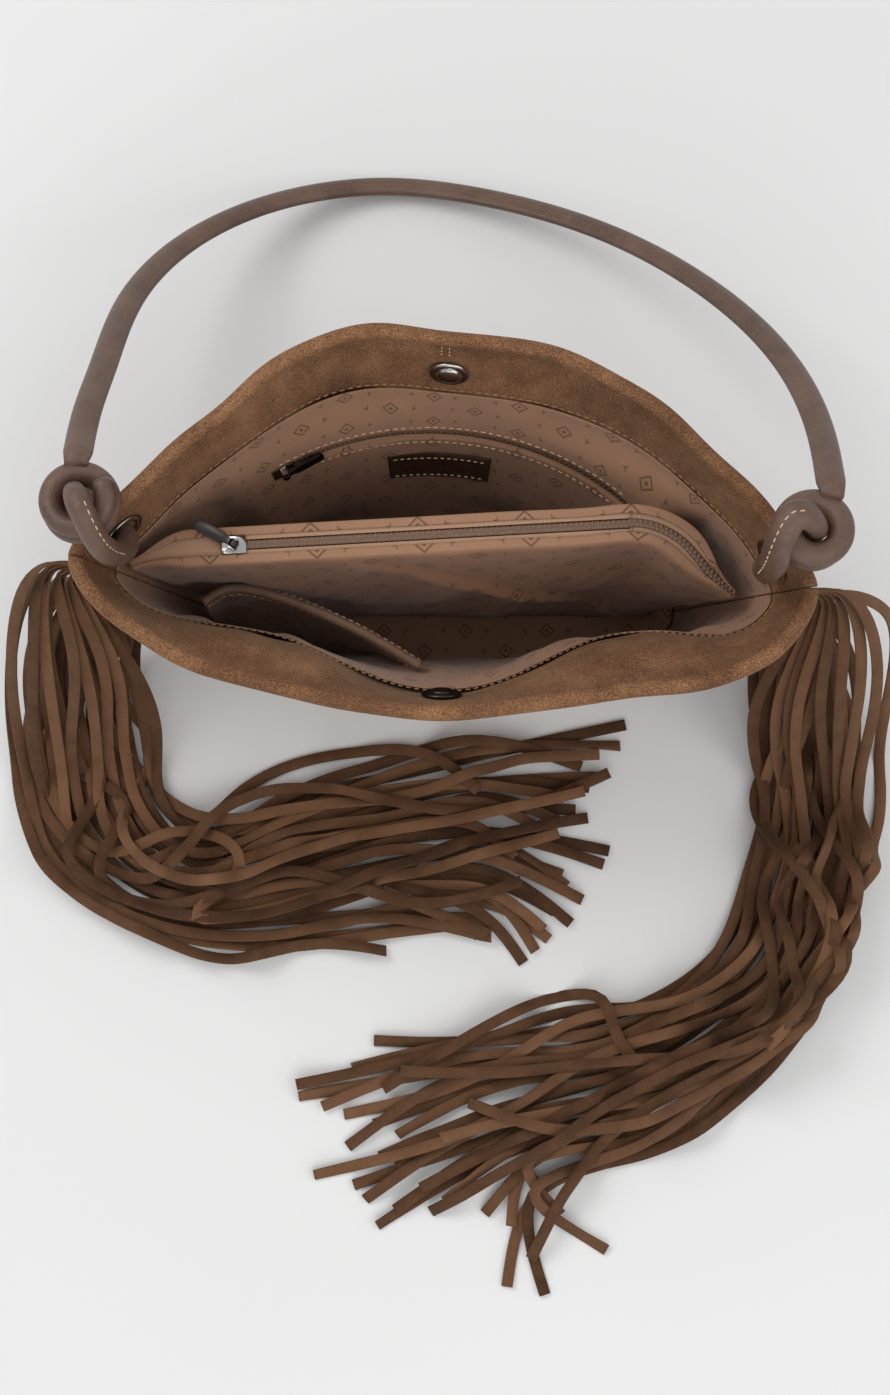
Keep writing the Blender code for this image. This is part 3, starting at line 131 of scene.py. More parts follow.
RIGHT_KNOT = (0.158, 0.001, 0.2065)
RIGHT_KNOT_TURN = math.radians(-592.0)
LEG_STANDOFF = 0.0100
LEG_LIFT = 0.0013
LEFT_LEG = [  # from the ring's hole over its wraps and down inside the bag
    (-0.157, 0.013, 0.2110), (-0.157, 0.013, 0.2300), (-0.1545, 0.0080, 0.2370), (-0.1505, -0.0010, 0.2325),
    (-0.1475, -0.0065, 0.2170), (-0.1450, -0.0060, 0.1980), (-0.1425, 0.0000, 0.1780),
]
RIGHT_LEG = [
    (0.158, 0.001, 0.2110), (0.156, 0.002, 0.2300), (0.1480, 0.0030, 0.2370), (0.1430, -0.0040, 0.2325),
    (0.1415, -0.0115, 0.2180), (0.1410, -0.0140, 0.1990), (0.1420, -0.0100, 0.1790),
]
LEG_THROUGH_EYE = [(-0.40, LEG_LIFT), (0.40, LEG_LIFT),
                   (0.95, LEG_LIFT + 0.0025), (1.20, 0.0120), (1.25, 0.0220)]
EYELET_HEIGHT = 0.168
LEFT_EYELET_PHI = 0.055
RIGHT_EYELET_PHI = 0.955

# Fringe
STRIP_LAYERS = 3
STRIP_LANES = 8
STRIP_WIDTH = 0.0057
STRIP_PITCH = 0.0062
STRIP_THICKNESS = 0.0013
HEADER_FOOT = 0.024
HEADER_REACH = 0.009
HEADER_TUCK = 0.0011
LEFT_GATES = [
    ((-0.182, -0.030), 0.026), ((-0.184, -0.072), 0.036), ((-0.172, -0.112), 0.034),
    ((-0.132, -0.140), 0.030), ((-0.082, -0.136), 0.038), ((-0.030, -0.126), 0.044),
    ((0.018, -0.120), 0.050),
]
LEFT_ENDS = [
    (0.093, -0.059), (0.090, -0.070), (0.070, -0.081), (0.078, -0.086), (0.074, -0.092), (0.061, -0.097),
    (0.067, -0.103), (0.058, -0.109), (0.052, -0.115), (0.084, -0.124), (0.081, -0.131), (0.035, -0.128),
    (0.060, -0.136), (0.062, -0.142), (0.070, -0.149), (0.056, -0.155), (0.064, -0.161), (0.050, -0.164),
    (0.053, -0.169), (0.046, -0.175), (0.040, -0.181), (0.014, -0.167), (-0.020, -0.158), (-0.032, -0.145),
]
RIGHT_GATES = [
    ((0.182, -0.046), 0.026), ((0.188, -0.092), 0.026), ((0.182, -0.140), 0.027),
    ((0.163, -0.186), 0.029), ((0.128, -0.220), 0.034), ((0.082, -0.244), 0.040),
    ((0.034, -0.258), 0.046),
]
RIGHT_ENDS = [
    (-0.036, -0.220), (-0.047, -0.234), (-0.075, -0.242), (-0.074, -0.248), (-0.062, -0.253),
    (-0.051, -0.257), (-0.036, -0.262), (-0.024, -0.267), (-0.049, -0.273), (-0.033, -0.278),
    (-0.024, -0.283), (-0.066, -0.287), (-0.046, -0.292), (-0.040, -0.299), (-0.025, -0.304),
    (-0.034, -0.312), (0.000, -0.300), (0.020, -0.306), (0.046, -0.292), (0.033, -0.312),
    (0.058, -0.306), (0.031, -0.342), (0.050, -0.346), (0.081, -0.324),
]

LEFT_LOOSE = [  # strips that stray over the others, from the bundle to their ends
    [(-0.215, -0.048), (-0.218, -0.094), (-0.194, -0.14), (-0.148, -0.167), (-0.108, -0.179),
     (-0.073, -0.172), (-0.03, -0.175)],
    [(-0.191, -0.043), (-0.18, -0.094), (-0.149, -0.13), (-0.111, -0.099), (-0.079, -0.08),
     (-0.043, -0.073), (-0.008, -0.075), (0.017, -0.094)],
    [(-0.206, -0.048), (-0.2, -0.099), (-0.169, -0.125), (-0.129, -0.115), (-0.103, -0.13),
     (-0.123, -0.157), (-0.073, -0.15), (-0.013, -0.135), (0.058, -0.115)],
    [(-0.175, -0.043), (-0.16, -0.079), (-0.124, -0.107), (-0.073, -0.102), (-0.023, -0.097),
     (0.028, -0.08), (0.079, -0.075)],
    [(-0.202, -0.043), (-0.21, -0.089), (-0.184, -0.125), (-0.143, -0.137), (-0.119, -0.109),
     (-0.073, -0.092), (-0.013, -0.102), (0.048, -0.099), (0.084, -0.084)],
    [(-0.183, -0.043), (-0.195, -0.079), (-0.164, -0.099), (-0.174, -0.135), (-0.133, -0.152),
     (-0.078, -0.135), (-0.023, -0.15), (0.038, -0.14)],
    [(-0.196, -0.043), (-0.175, -0.084), (-0.189, -0.125), (-0.153, -0.152), (-0.093, -0.157),
     (-0.043, -0.14), (0.013, -0.12), (0.073, -0.107)],
    [(-0.17, -0.038), (-0.15, -0.071), (-0.164, -0.109), (-0.128, -0.14), (-0.073, -0.125),
     (-0.033, -0.115), (0.028, -0.104), (0.071, -0.094)],
]
RIGHT_LOOSE = [  # strips that stray over the others, from the bundle to their ends
    [(0.212, -0.018), (0.223, -0.069), (0.223, -0.104), (0.213, -0.135), (0.201, -0.155), (0.178, -0.19),
     (0.147, -0.224), (0.097, -0.244)],
    [(0.18, -0.043), (0.174, -0.109), (0.193, -0.165), (0.167, -0.21), (0.122, -0.233), (0.102, -0.233),
     (0.086, -0.217), (0.077, -0.198), (0.065, -0.197), (0.017, -0.215), (-0.031, -0.244)],
    [(0.175, -0.048), (0.164, -0.099), (0.19, -0.15), (0.178, -0.2), (0.127, -0.242), (0.057, -0.255),
     (-0.002, -0.268)],
    [(0.192, -0.043), (0.201, -0.099), (0.169, -0.15), (0.175, -0.195), (0.137, -0.232), (0.089, -0.261),
     (0.058, -0.298), (0.043, -0.328)],
    [(0.198, -0.043), (0.187, -0.099), (0.204, -0.14), (0.185, -0.19), (0.15, -0.222), (0.097, -0.229),
     (0.037, -0.235), (-0.022, -0.235)],
    [(0.17, -0.048), (0.179, -0.099), (0.161, -0.15), (0.163, -0.2), (0.127, -0.222), (0.077, -0.247),
     (0.017, -0.278), (-0.012, -0.293)],
    [(0.203, -0.043), (0.205, -0.094), (0.185, -0.145), (0.195, -0.18), (0.162, -0.224), (0.112, -0.254),
     (0.067, -0.264), (0.012, -0.251)],
    [(0.186, -0.043), (0.159, -0.094), (0.179, -0.14), (0.198, -0.18), (0.157, -0.215), (0.107, -0.237),
     (0.047, -0.274), (-0.007, -0.305)],
]


# Curves and noise

def smooth_step(t):
    t = np.clip(t, 0.0, 1.0)
    return t * t * (3.0 - 2.0 * t)


def cubic(knots, values, places, closed):
    """Cubic interpolation with matching slopes and curvatures, natural at open ends."""
    n = len(knots)
    h = np.diff(knots)
    rows = np.zeros((n, n))
    right = np.zeros((n, values.shape[1]))
    slopes = np.diff(values, axis=0) / h[:, None]
    for k in range(1, n - 1):
        rows[k, k - 1:k + 2] = h[k - 1], 2.0 * (h[k - 1] + h[k]), h[k]
        right[k] = 6.0 * (slopes[k] - slopes[k - 1])
    if closed:
        rows[0, 0], rows[0, -1] = 1.0, -1.0
        rows[-1, 0], rows[-1, 1] = 2.0 * h[0], h[0]
        rows[-1, -2], rows[-1, -1] = h[-1], 2.0 * h[-1]
        right[-1] = 6.0 * (slopes[0] - slopes[-1])
    else:
        rows[0, 0] = rows[-1, -1] = 1.0
    bend = np.linalg.solve(rows, right)
    places = np.asarray(places, dtype=float)
    k = np.clip(np.searchsorted(knots, places, side="right") - 1, 0, n - 2)
    a = ((knots[k + 1] - places) / h[k])[:, None]
    b = ((places - knots[k]) / h[k])[:, None]
    bow = (a ** 3 - a) * bend[k] + (b ** 3 - b) * bend[k + 1]
    return a * values[k] + b * values[k + 1] + bow * (h[k] ** 2)[:, None] / 6.0


def curve_through(points, count):
    """A smooth curve through given points: each coordinate is a natural cubic in chord length."""
    points = np.asarray(points, dtype=float)
    knots = np.concatenate([[0.0], np.cumsum(np.linalg.norm(np.diff(points, axis=0), axis=1))])
    knots /= knots[-1]
    return cubic(knots, points, np.linspace(0.0, 1.0, count), closed=False)


def spread_evenly(path, count):
    """The same path with points at equal distances along it."""
    far = np.concatenate([[0.0], np.cumsum(np.linalg.norm(np.diff(path, axis=0), axis=1))])
    even = np.linspace(0.0, far[-1], count)
    return np.stack([np.interp(even, far, path[:, k]) for k in range(3)], axis=1)


def unit(vectors):
    return vectors / np.maximum(np.linalg.norm(vectors, axis=-1, keepdims=True), 1e-12)


def soft_noise(u, v, size, seed):
    """Smooth irregular waves from -1 to 1, about one size long: a sum of eight turned sines."""
    chance = np.random.default_rng(seed)
    total = np.zeros(np.broadcast(u, v).shape)
    for _ in range(8):
        turn = chance.uniform(0.0, math.pi)
        pace = 2.0 * math.pi / size * chance.uniform(0.6, 1.7)
        total += np.sin((u * math.cos(turn) + v * math.sin(turn)) * pace + chance.uniform(0.0, 6.3))
    return total / 4.0


# Meshes

def grid_faces(rows, cols, wrap_rows=False, wrap_cols=False, first=0):
    """Quads of a grid of vertices, in whole arrays."""
    r, c = np.meshgrid(np.arange(rows - (not wrap_rows)), np.arange(cols - (not wrap_cols)), indexing="ij")
    r, c = r.ravel(), c.ravel()
    r2, c2 = (r + 1) % rows, (c + 1) % cols
    return first + np.stack([r * cols + c, r * cols + c2, r2 * cols + c2, r2 * cols + c], axis=1)


def make_piece(name, verts, faces, finish, body, slot=None, replaces=(), uv=None, shade=None, outward=True,
               merge=0.0):
    """A mesh object that rides on a body, with its faces turned outwards."""
    mesh = bpy.data.meshes.new(name)
    mesh.from_pydata(np.asarray(verts, dtype=float).tolist(), [], [list(map(int, f)) for f in faces])
    if uv is not None:
        corners = np.zeros(len(mesh.loops), dtype=np.int32)
        mesh.loops.foreach_get("vertex_index", corners)
        layer = mesh.uv_layers.new(name="cloth")
        layer.data.foreach_set("uv", np.asarray(uv, dtype=np.float32)[corners].ravel())
    if shade is not None:
        layer = mesh.attributes.new("shade", "FLOAT", "POINT")
        layer.data.foreach_set("value", np.asarray(shade, dtype=np.float32))
    if outward:
        work = bmesh.new()
        work.from_mesh(mesh)
        if merge > 0.0:
            bmesh.ops.remove_doubles(work, verts=work.verts, dist=merge)
        bmesh.ops.recalc_face_normals(work, faces=work.faces)
        if work.calc_volume(signed=True) < 0.0:
            bmesh.ops.reverse_faces(work, faces=work.faces)
        work.to_mesh(mesh)
        work.free()
    mesh.shade_smooth()
    mesh.materials.append(finish)
    piece = bpy.data.objects.new(name, mesh)
    bpy.context.scene.collection.objects.link(piece)
    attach(piece, body)
    if replaces:
        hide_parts(*replaces)
    return piece


def sheet_piece(name, outer, inner, uv, finish, body, **more):
    """A closed sheet between two grids of points, rows by columns by 3, with its rim closed by quads."""
    rows, cols = outer.shape[:2]
    skin = rows * cols
    face = grid_faces(rows, cols)
    index = np.arange(skin).reshape(rows, cols)
    border = np.concatenate([index[0], index[1:, -1], index[-1, -2::-1], index[-2:0:-1, 0]])
    after = np.roll(border, -1)
    edge = np.stack([border, after, skin + after, skin + border], axis=1)
    faces = np.concatenate([face, skin + face[:, ::-1], edge])
    verts = np.concatenate([outer.reshape(-1, 3), inner.reshape(-1, 3)])
    both = np.concatenate([uv.reshape(-1, 2)] * 2)
    return make_piece(name, verts, faces, finish, body, uv=both, merge=1e-6, **more)


def metres_uv(points):
    """Distance along and up a grid of points, so that a woven pattern keeps its size."""
    along = np.linalg.norm(np.diff(points, axis=1), axis=2).mean(axis=0)
    up = np.linalg.norm(np.diff(points, axis=0), axis=2).mean(axis=1)
    u = np.concatenate([[0.0], np.cumsum(along)])
    v = np.concatenate([[0.0], np.cumsum(up)])
    return np.stack(np.meshgrid(u, v), axis=2)


def tube_piece(name, path, section, sideways, finish, body, grow=None, **more):
    """A section of (sideways, upwards) offsets carried along a path, with closed round ends.

    sideways is one vector for each point of the path, and grow scales the section there.
    """
    tangent = unit(np.gradient(path, axis=0))
    across = unit(sideways - tangent * np.sum(sideways * tangent, axis=1, keepdims=True))
    rise = np.cross(tangent, across)
    grow = np.ones(len(path)) if grow is None else grow
    ring = section[None, :, :] * grow[:, None, None]
    verts = path[:, None, :] + across[:, None, :] * ring[..., :1] + rise[:, None, :] * ring[..., 1:]
    count, sides = verts.shape[:2]
    far = np.concatenate([[0.0], np.cumsum(np.linalg.norm(np.diff(path, axis=0), axis=1))])
    girth = np.concatenate([[0.0], np.cumsum(np.linalg.norm(np.diff(section, axis=0), axis=1))])
    uv = np.stack(np.meshgrid(girth, far), axis=2)
    faces = grid_faces(count, sides, wrap_cols=True).tolist()
    faces.append(list(range(sides)))
    faces.append(list(range((count - 1) * sides, count * sides)))
    return make_piece(name, verts.reshape(-1, 3), faces, finish, body, uv=uv.reshape(-1, 2), **more)


def oval(half_width, half_height, sides, squareness=2.0):
    """A superellipse section."""
    turn = 2.0 * math.pi * np.arange(sides) / sides
    power = 2.0 / squareness
    return np.stack([np.sign(np.cos(turn)) * np.abs(np.cos(turn)) ** power * half_width,
                     np.sign(np.sin(turn)) * np.abs(np.sin(turn)) ** power * half_height], axis=1)


def stitch_row(name, path, outward, finish, body, length=0.0026, gap=0.0011, radius=0.00034, sink=0.3):
    """A row of thread stitches: one small pointed bead, repeated at equal steps along a path."""
    step = length + gap
    total = np.linalg.norm(np.diff(path, axis=0), axis=1).sum()
    count = max(2, int(total / step))
    place = spread_evenly(path, 2 * count + 1)[1::2]
    normal = spread_evenly(outward, 2 * count + 1)[1::2] if len(outward) == len(path) else outward
    tangent = unit(np.gradient(place, axis=0))
    normal = unit(normal - tangent * np.sum(normal * tangent, axis=1, keepdims=True))
    side = np.cross(tangent, normal)
    ring = 2.0 * math.pi * np.arange(6) / 6
    rows = [(-0.5, 0.0, 0.0)]
    for along, thick in ((-0.36, 0.8), (0.0, 1.0), (0.36, 0.8)):
        rows += [(along, thick * math.cos(a), thick * math.sin(a)) for a in ring]
    rows.append((0.5, 0.0, 0.0))
    bead = np.array(rows)
    verts = (place[:, None, :] + tangent[:, None, :] * bead[None, :, :1] * length
             + side[:, None, :] * bead[None, :, 1:2] * radius
             + normal[:, None, :] * (bead[None, :, 2:] * radius + radius * sink))
    faces = [[0, 1 + (k + 1) % 6, 1 + k] for k in range(6)]
    for row in range(2):
        base = 1 + 6 * row
        faces += [[base + k, base + (k + 1) % 6, base + 6 + (k + 1) % 6, base + 6 + k] for k in range(6)]
    faces += [[13 + k, 13 + (k + 1) % 6, 19] for k in range(6)]
    every = [[i + 20 * n for i in face] for n in range(len(place)) for face in faces]
    return make_piece(name, verts.reshape(-1, 3), every, finish, body)


def turned_piece(name, profile, place, axis, finish, body, segments=64, **more):
    """A (radius, height) profile spun about an axis at a place; closed where it meets the axis."""
    profile = np.array(profile)
    turn = 2.0 * math.pi * np.arange(segments) / segments
    axis = unit(np.array(axis, dtype=float))
    side = unit(np.cross(axis, [0.0, 0.0, 1.0]))
    other = np.cross(axis, side)
    wheel = np.cos(turn)[:, None] * side + np.sin(turn)[:, None] * other
    verts = (np.array(place) + wheel[:, None, :] * profile[None, :, :1] + axis * profile[None, :, 1:])
    hollow = profile[0, 0] > 0.0
    faces = grid_faces(segments, len(profile), wrap_rows=True, wrap_cols=hollow)
    return make_piece(name, verts.reshape(-1, 3), faces, finish, body, merge=1e-7, **more)


def softened(node, finish, body, width, segments=2):
    """A packed metal piece with its edges rounded."""
    source = NODES[node].data
    work = bmesh.new()
    work.from_mesh(source)
    bmesh.ops.remove_doubles(work, verts=work.verts, dist=1e-6)
    bmesh.ops.dissolve_limit(work, angle_limit=math.radians(2.0), verts=work.verts, edges=work.edges)
    mesh = bpy.data.meshes.new(node + "_rounded")
    work.to_mesh(mesh)
    work.free()
    mesh.shade_smooth()
    mesh.materials.append(finish)
    piece = bpy.data.objects.new(node + "_rounded", mesh)
    bpy.context.scene.collection.objects.link(piece)
    bevel = piece.modifiers.new("edges", "BEVEL")
    bevel.width = width
    bevel.segments = segments
    bevel.limit_method = "ANGLE"
    bevel.angle_limit = math.radians(35.0)
    bevel.harden_normals = True
    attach(piece, body)
    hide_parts(node)
    return piece


# Finishes

class Signal:
    """A number that varies over a surface. Arithmetic on it adds Math nodes."""

    def __init__(self, finish, socket):
        self.finish = finish
        self.socket = socket

    def math(self, operation, *others):
        values = {k: value for k, value in enumerate((self,) + others)}
        return self.finish.number("ShaderNodeMath", {"operation": operation}, values)

    def __add__(self, other):
        return self.math("ADD", other)

    def __mul__(self, other):
        return self.math("MULTIPLY", other)

    def __sub__(self, other):
        return self.math("SUBTRACT", other)

    def __rsub__(self, other):
        return (self * -1.0) + other

    __radd__ = __add__
    __rmul__ = __mul__

    def above(self, edge, soft):
        """0 under an edge and 1 over it, with a soft step."""
        return ((self - (edge - soft)) * (0.5 / soft)).clamped()

    def clamped(self):
        return self.math("MAXIMUM", 0.0).math("MINIMUM", 1.0)

    def absolute(self):
        return self.math("ABSOLUTE")


class Finish:
    """A material under construction."""

    def __init__(self, name, constants):
        self.material = bpy.data.materials.new(name)
        self.material.use_nodes = True
        self.tree = self.material.node_tree
        self.shader = self.tree.nodes["Principled BSDF"]
        for socket, value in constants.items():
            self.shader.inputs[socket].default_value = value

    def feed(self, socket, value):
        if isinstance(value, Signal):
            self.tree.links.new(value.socket, socket)
        elif isinstance(value, bpy.types.NodeSocket):
            self.tree.links.new(value, socket)
        else:
            socket.default_value = value

    def node(self, kind, settings, values):
        made = self.tree.nodes.new(kind)
        for key, setting in settings.items():
            if key == "stops":
                ramp = made.color_ramp
                ramp.elements[0].position, ramp.elements[0].color = setting[0]
                ramp.elements[1].position, ramp.elements[1].color = setting[-1]
                for place, colour in setting[1:-1]:
                    ramp.elements.new(place).color = colour
            else:
                setattr(made, key, setting)
        for key, value in values.items():
            self.feed(made.inputs[key], value)
        return made

    def number(self, kind, settings, values, output=0):
        return Signal(self, self.node(kind, settings, values).outputs[output])

    def place(self):
        return self.node("ShaderNodeTexCoord", {}, {}).outputs["Object"]

    def cloth(self):
        return self.node("ShaderNodeUVMap", {"uv_map": "cloth"}, {}).outputs["UV"]

    def split(self, vector):
        made = self.node("ShaderNodeSeparateXYZ", {}, {"Vector": vector})
        return [Signal(self, made.outputs[k]) for k in range(3)]

    def stretched(self, vector, scale):
        made = self.node("ShaderNodeVectorMath", {"operation": "MULTIPLY"}, {0: vector, 1: scale})
        return made.outputs[0]

    def noise(self, vector, scale, detail=3.0, roughness=0.55):
        return self.number("ShaderNodeTexNoise", {}, {"Vector": vector, "Scale": scale, "Detail": detail,
                                                      "Roughness": roughness})

    def cells(self, vector, scale, feature="F1"):
        return self.number("ShaderNodeTexVoronoi", {"feature": feature}, {"Vector": vector, "Scale": scale})

    def blend(self, factor, first, second, how="MIX"):
        made = self.node("ShaderNodeMix", {"data_type": "RGBA", "blend_type": how},
                         {0: factor, 6: first, 7: second})
        return made.outputs[2]

    def done(self, colour, roughness=None, height=None, distance=0.0005, strength=1.0):
        """Join colour, roughness and the height of the surface to the shader."""
        self.feed(self.shader.inputs["Base Color"], colour)
        if roughness is not None:
            self.feed(self.shader.inputs["Roughness"], roughness)
        if height is not None:
            bump = self.node("ShaderNodeBump", {}, {"Height": height, "Distance": distance,
                                                    "Strength": strength})
            self.feed(self.shader.inputs["Normal"], bump.outputs[0])
        return self.material


def rgb(red, green, blue):
    return (red, green, blue, 1.0)


def suede_finish(name, dark, middle, light, sheen):
    """Brushed nap: broad mottling where it was stroked, fine fibres, and paler worn patches."""
    made = Finish(name, {"Sheen Weight": sheen, "Sheen Roughness": 0.45, "Sheen Tint": rgb(0.95, 0.78, 0.58),
                         "Specular IOR Level": 0.12})
    place = made.place()
    broad = made.noise(place, 24.0, 3.0, 0.6)
    stroke = made.noise(made.stretched(place, (1.0, 1.0, 0.45)), 85.0, 4.0, 0.62)
    fibre = made.noise(place, 1500.0, 2.0, 0.7)
    tone = broad * 0.30 + stroke * 0.26 + fibre * 0.78
    colour = made.blend(tone.above(0.62, 0.19), rgb(*dark), rgb(*middle))
    colour = made.blend(tone.above(0.75, 0.13) * 0.80, colour, rgb(*light))
    return made.done(colour, 0.95 - fibre * 0.12, fibre * 0.6 + stroke * 0.4, 0.0004, 0.55)


def strip_finish():
    """Suede cut in strips, each a little lighter or darker than its neighbours."""
    made = Finish("fringe_suede", {"Sheen Weight": 0.08, "Sheen Roughness": 0.5,
                                   "Sheen Tint": rgb(0.95, 0.75, 0.55), "Specular IOR Level": 0.12})
    place = made.place()
    own = made.number("ShaderNodeAttribute", {"attribute_name": "shade"}, {}, "Fac")
    broad = made.noise(place, 75.0, 4.0, 0.65)
    fibre = made.noise(place, 1700.0, 2.0, 0.7)
    tone = own * 0.40 + broad * 0.40 + fibre * 0.32
    colour = made.blend(tone.above(0.56, 0.26), rgb(0.052, 0.024, 0.012), rgb(0.178, 0.089, 0.047))
    return made.done(colour, 0.95 - fibre * 0.1, fibre, 0.0004, 0.5)


def leather_finish(name, dark, light, roughness, grain=900.0):
    """Smooth leather: a fine cell grain, faint creases with a highlight painted paler on their ridges, and a
    soft rub of shine.
    """
    made = Finish(name, {"Coat Weight": 0.06, "Coat Roughness": 0.35, "Specular IOR Level": 0.34})
    place = made.place()
    broad = made.noise(place, 45.0, 3.0, 0.6)
    cells = made.cells(place, grain, "DISTANCE_TO_EDGE")
    crease = made.noise(made.stretched(place, (1.0, 1.6, 1.0)), 260.0, 4.0, 0.6)
    colour = made.blend(broad.above(0.5, 0.22), rgb(*dark), rgb(*light))
    # Painted highlight: the raised crease ridges are mixed towards a colour paler than the leather's light
    # tone.
    colour = made.blend(crease.above(0.62, 0.08) * 0.35, colour, rgb(*[c * 1.35 for c in light]))
    rough = roughness + (broad - 0.5) * 0.25
    return made.done(colour, rough, cells.math("MINIMUM", 0.35) * 1.2 + crease * 0.6, 0.00035, 0.6)


MOTIF_PITCH = 0.0210


def lining_finish(name, coordinates, ground, mark):
    """Fine twill printed with small open diamonds and plus signs, in a half-drop layout."""
    made = Finish(name, {"Sheen Weight": 0.15, "Sheen Roughness": 0.5, "Specular IOR Level": 0.2})
    place = made.cloth() if coordinates == "cloth" else made.place()
    x, y, _ = made.split(place)
    column = (x * (1.0 / MOTIF_PITCH)).math("FLOOR")
    odd = column.math("MODULO", 2.0).absolute()
    across = (x * (1.0 / MOTIF_PITCH)).math("FRACT") - 0.5
    up = (y * (1.0 / MOTIF_PITCH) + odd * 0.5).math("FRACT") - 0.5
    diamond = across.absolute() + up.absolute()
    ring = 1.0 - (diamond - 0.165).absolute().above(0.026, 0.010)
    core = 1.0 - diamond.above(0.055, 0.012)
    far_x = 0.5 - across.absolute()
    far_y = 0.5 - up.absolute()
    cross = (1.0 - far_x.math("MINIMUM", far_y).above(0.022, 0.010)) * (
        1.0 - far_x.math("MAXIMUM", far_y).above(0.085, 0.012))
    motif = ring.math("MAXIMUM", core).math("MAXIMUM", cross)
    twill = ((x + y) * (2.0 * math.pi / 0.0011)).math("SINE")
    thread = made.noise(place, 1400.0, 2.0, 0.6)
    broad = made.noise(place, 30.0, 2.0, 0.5)
    colour = made.blend(broad.above(0.5, 0.3), rgb(*[c * 0.90 for c in ground]), rgb(*ground))
    colour = made.blend(motif * (0.55 + thread * 0.35), colour, rgb(*mark))
    colour = made.blend(twill.above(0.2, 0.7) * 0.16, colour, rgb(*[c * 0.55 for c in ground]))
    return made.done(colour, 0.82 + thread * 0.1, twill * 0.25 + thread * 0.5, 0.0002, 0.5)


def tape_finish():
    """Woven zip tape: a fine rib across its length."""
    made = Finish("zip_tape", {"Specular IOR Level": 0.2, "Sheen Weight": 0.1})
    place = made.place()
    x, y, z = made.split(place)
    rib = ((x + y * 0.3 + z) * (2.0 * math.pi / 0.0009)).math("SINE")
    thread = made.noise(place, 1500.0, 2.0, 0.6)
    colour = made.blend(thread, rgb(0.33, 0.195, 0.122), rgb(0.43, 0.262, 0.165))
    return made.done(colour, 0.85 + thread * 0.08, rib * 0.4 + thread * 0.5, 0.0002, 0.6)


def teeth_finish():
    """Nylon teeth, a little glossy."""
    made = Finish("zip_teeth", {"Specular IOR Level": 0.5})
    tint = made.noise(made.place(), 500.0)
    return made.done(made.blend(tint, rgb(0.130, 0.073, 0.046), rgb(0.215, 0.125, 0.080)), 0.40 + tint * 0.1)


def metal_finish(name, dark, light, roughness):
    """Plated metal with faint handling marks."""
    made = Finish(name, {"Metallic": 1.0, "Specular IOR Level": 0.5})
    place = made.place()
    smear = made.noise(place, 180.0, 4.0, 0.6)
    scratch = made.noise(made.stretched(place, (1.0, 8.0, 1.0)), 700.0, 3.0, 0.7)
    colour = made.blend(smear, rgb(*dark), rgb(*light))
    return made.done(colour, roughness + smear * 0.12 + scratch.above(0.66, 0.05) * 0.10,
                     scratch * 0.5, 0.00005, 0.4)


def thread_finish(name, colour):
    """Waxed sewing thread with a slight twist."""
    made = Finish(name, {"Specular IOR Level": 0.3})
    twist = made.noise(made.place(), 2600.0, 2.0)
    pale = rgb(*[min(1.0, c * 1.35) for c in colour])
    return made.done(made.blend(twist, rgb(*colour), pale), 0.7 + twist * 0.1, twist, 0.0001, 0.5)


SUEDE_FINISH = suede_finish("suede", (0.074, 0.032, 0.016), (0.176, 0.084, 0.042),
                            (0.375, 0.198, 0.098), 0.12)
FRINGE_FINISH = strip_finish()
STRAP_FINISH = leather_finish("strap_leather", (0.078, 0.043, 0.030), (0.136, 0.079, 0.056), 0.44)
BINDING_FINISH = leather_finish("binding_leather", (0.120, 0.066, 0.041), (0.190, 0.108, 0.068), 0.50)
LABEL_FINISH = leather_finish("label_leather", (0.036, 0.017, 0.010), (0.066, 0.033, 0.020), 0.45, 700.0)
LINING_FINISH = lining_finish("lining", "cloth", (0.335, 0.186, 0.112), (0.066, 0.031, 0.018))
FLOOR_LINING_FINISH = lining_finish("lining_floor", "object", (0.335, 0.186, 0.112), (0.066, 0.031, 0.018))
TAPE_FINISH = tape_finish()
TEETH_FINISH = teeth_finish()
NICKEL_FINISH = metal_finish("nickel", (0.22, 0.21, 0.20), (0.36, 0.35, 0.33), 0.16)
CHROME_FINISH = metal_finish("bright_nickel", (0.34, 0.33, 0.32), (0.52, 0.51, 0.49), 0.10)
DARK_METAL_FINISH = metal_finish("gunmetal", (0.030, 0.027, 0.026), (0.060, 0.055, 0.052), 0.26)
PALE_THREAD = thread_finish("pale_thread", (0.52, 0.38, 0.24))
BROWN_THREAD = thread_finish("brown_thread", (0.17, 0.095, 0.055))
FACING_THREAD = thread_finish("facing_thread", (0.30, 0.17, 0.09))


# Wall of the bag

def rim_knots():
    """Places of the rim's points: 0 at the left tip, 1 at the right tip, 2 back at the left."""
    loop = np.array(RIM + RIM[:1])
    step = np.linalg.norm(np.diff(loop, axis=0), axis=1)
    back = np.cumsum(step[:RIGHT_TIP])
    front = np.cumsum(step[RIGHT_TIP:])
    return np.concatenate([[0.0], back / back[-1], 1.0 + front / front[-1]]), loop


RIM_KNOTS, RIM_LOOP = rim_knots()


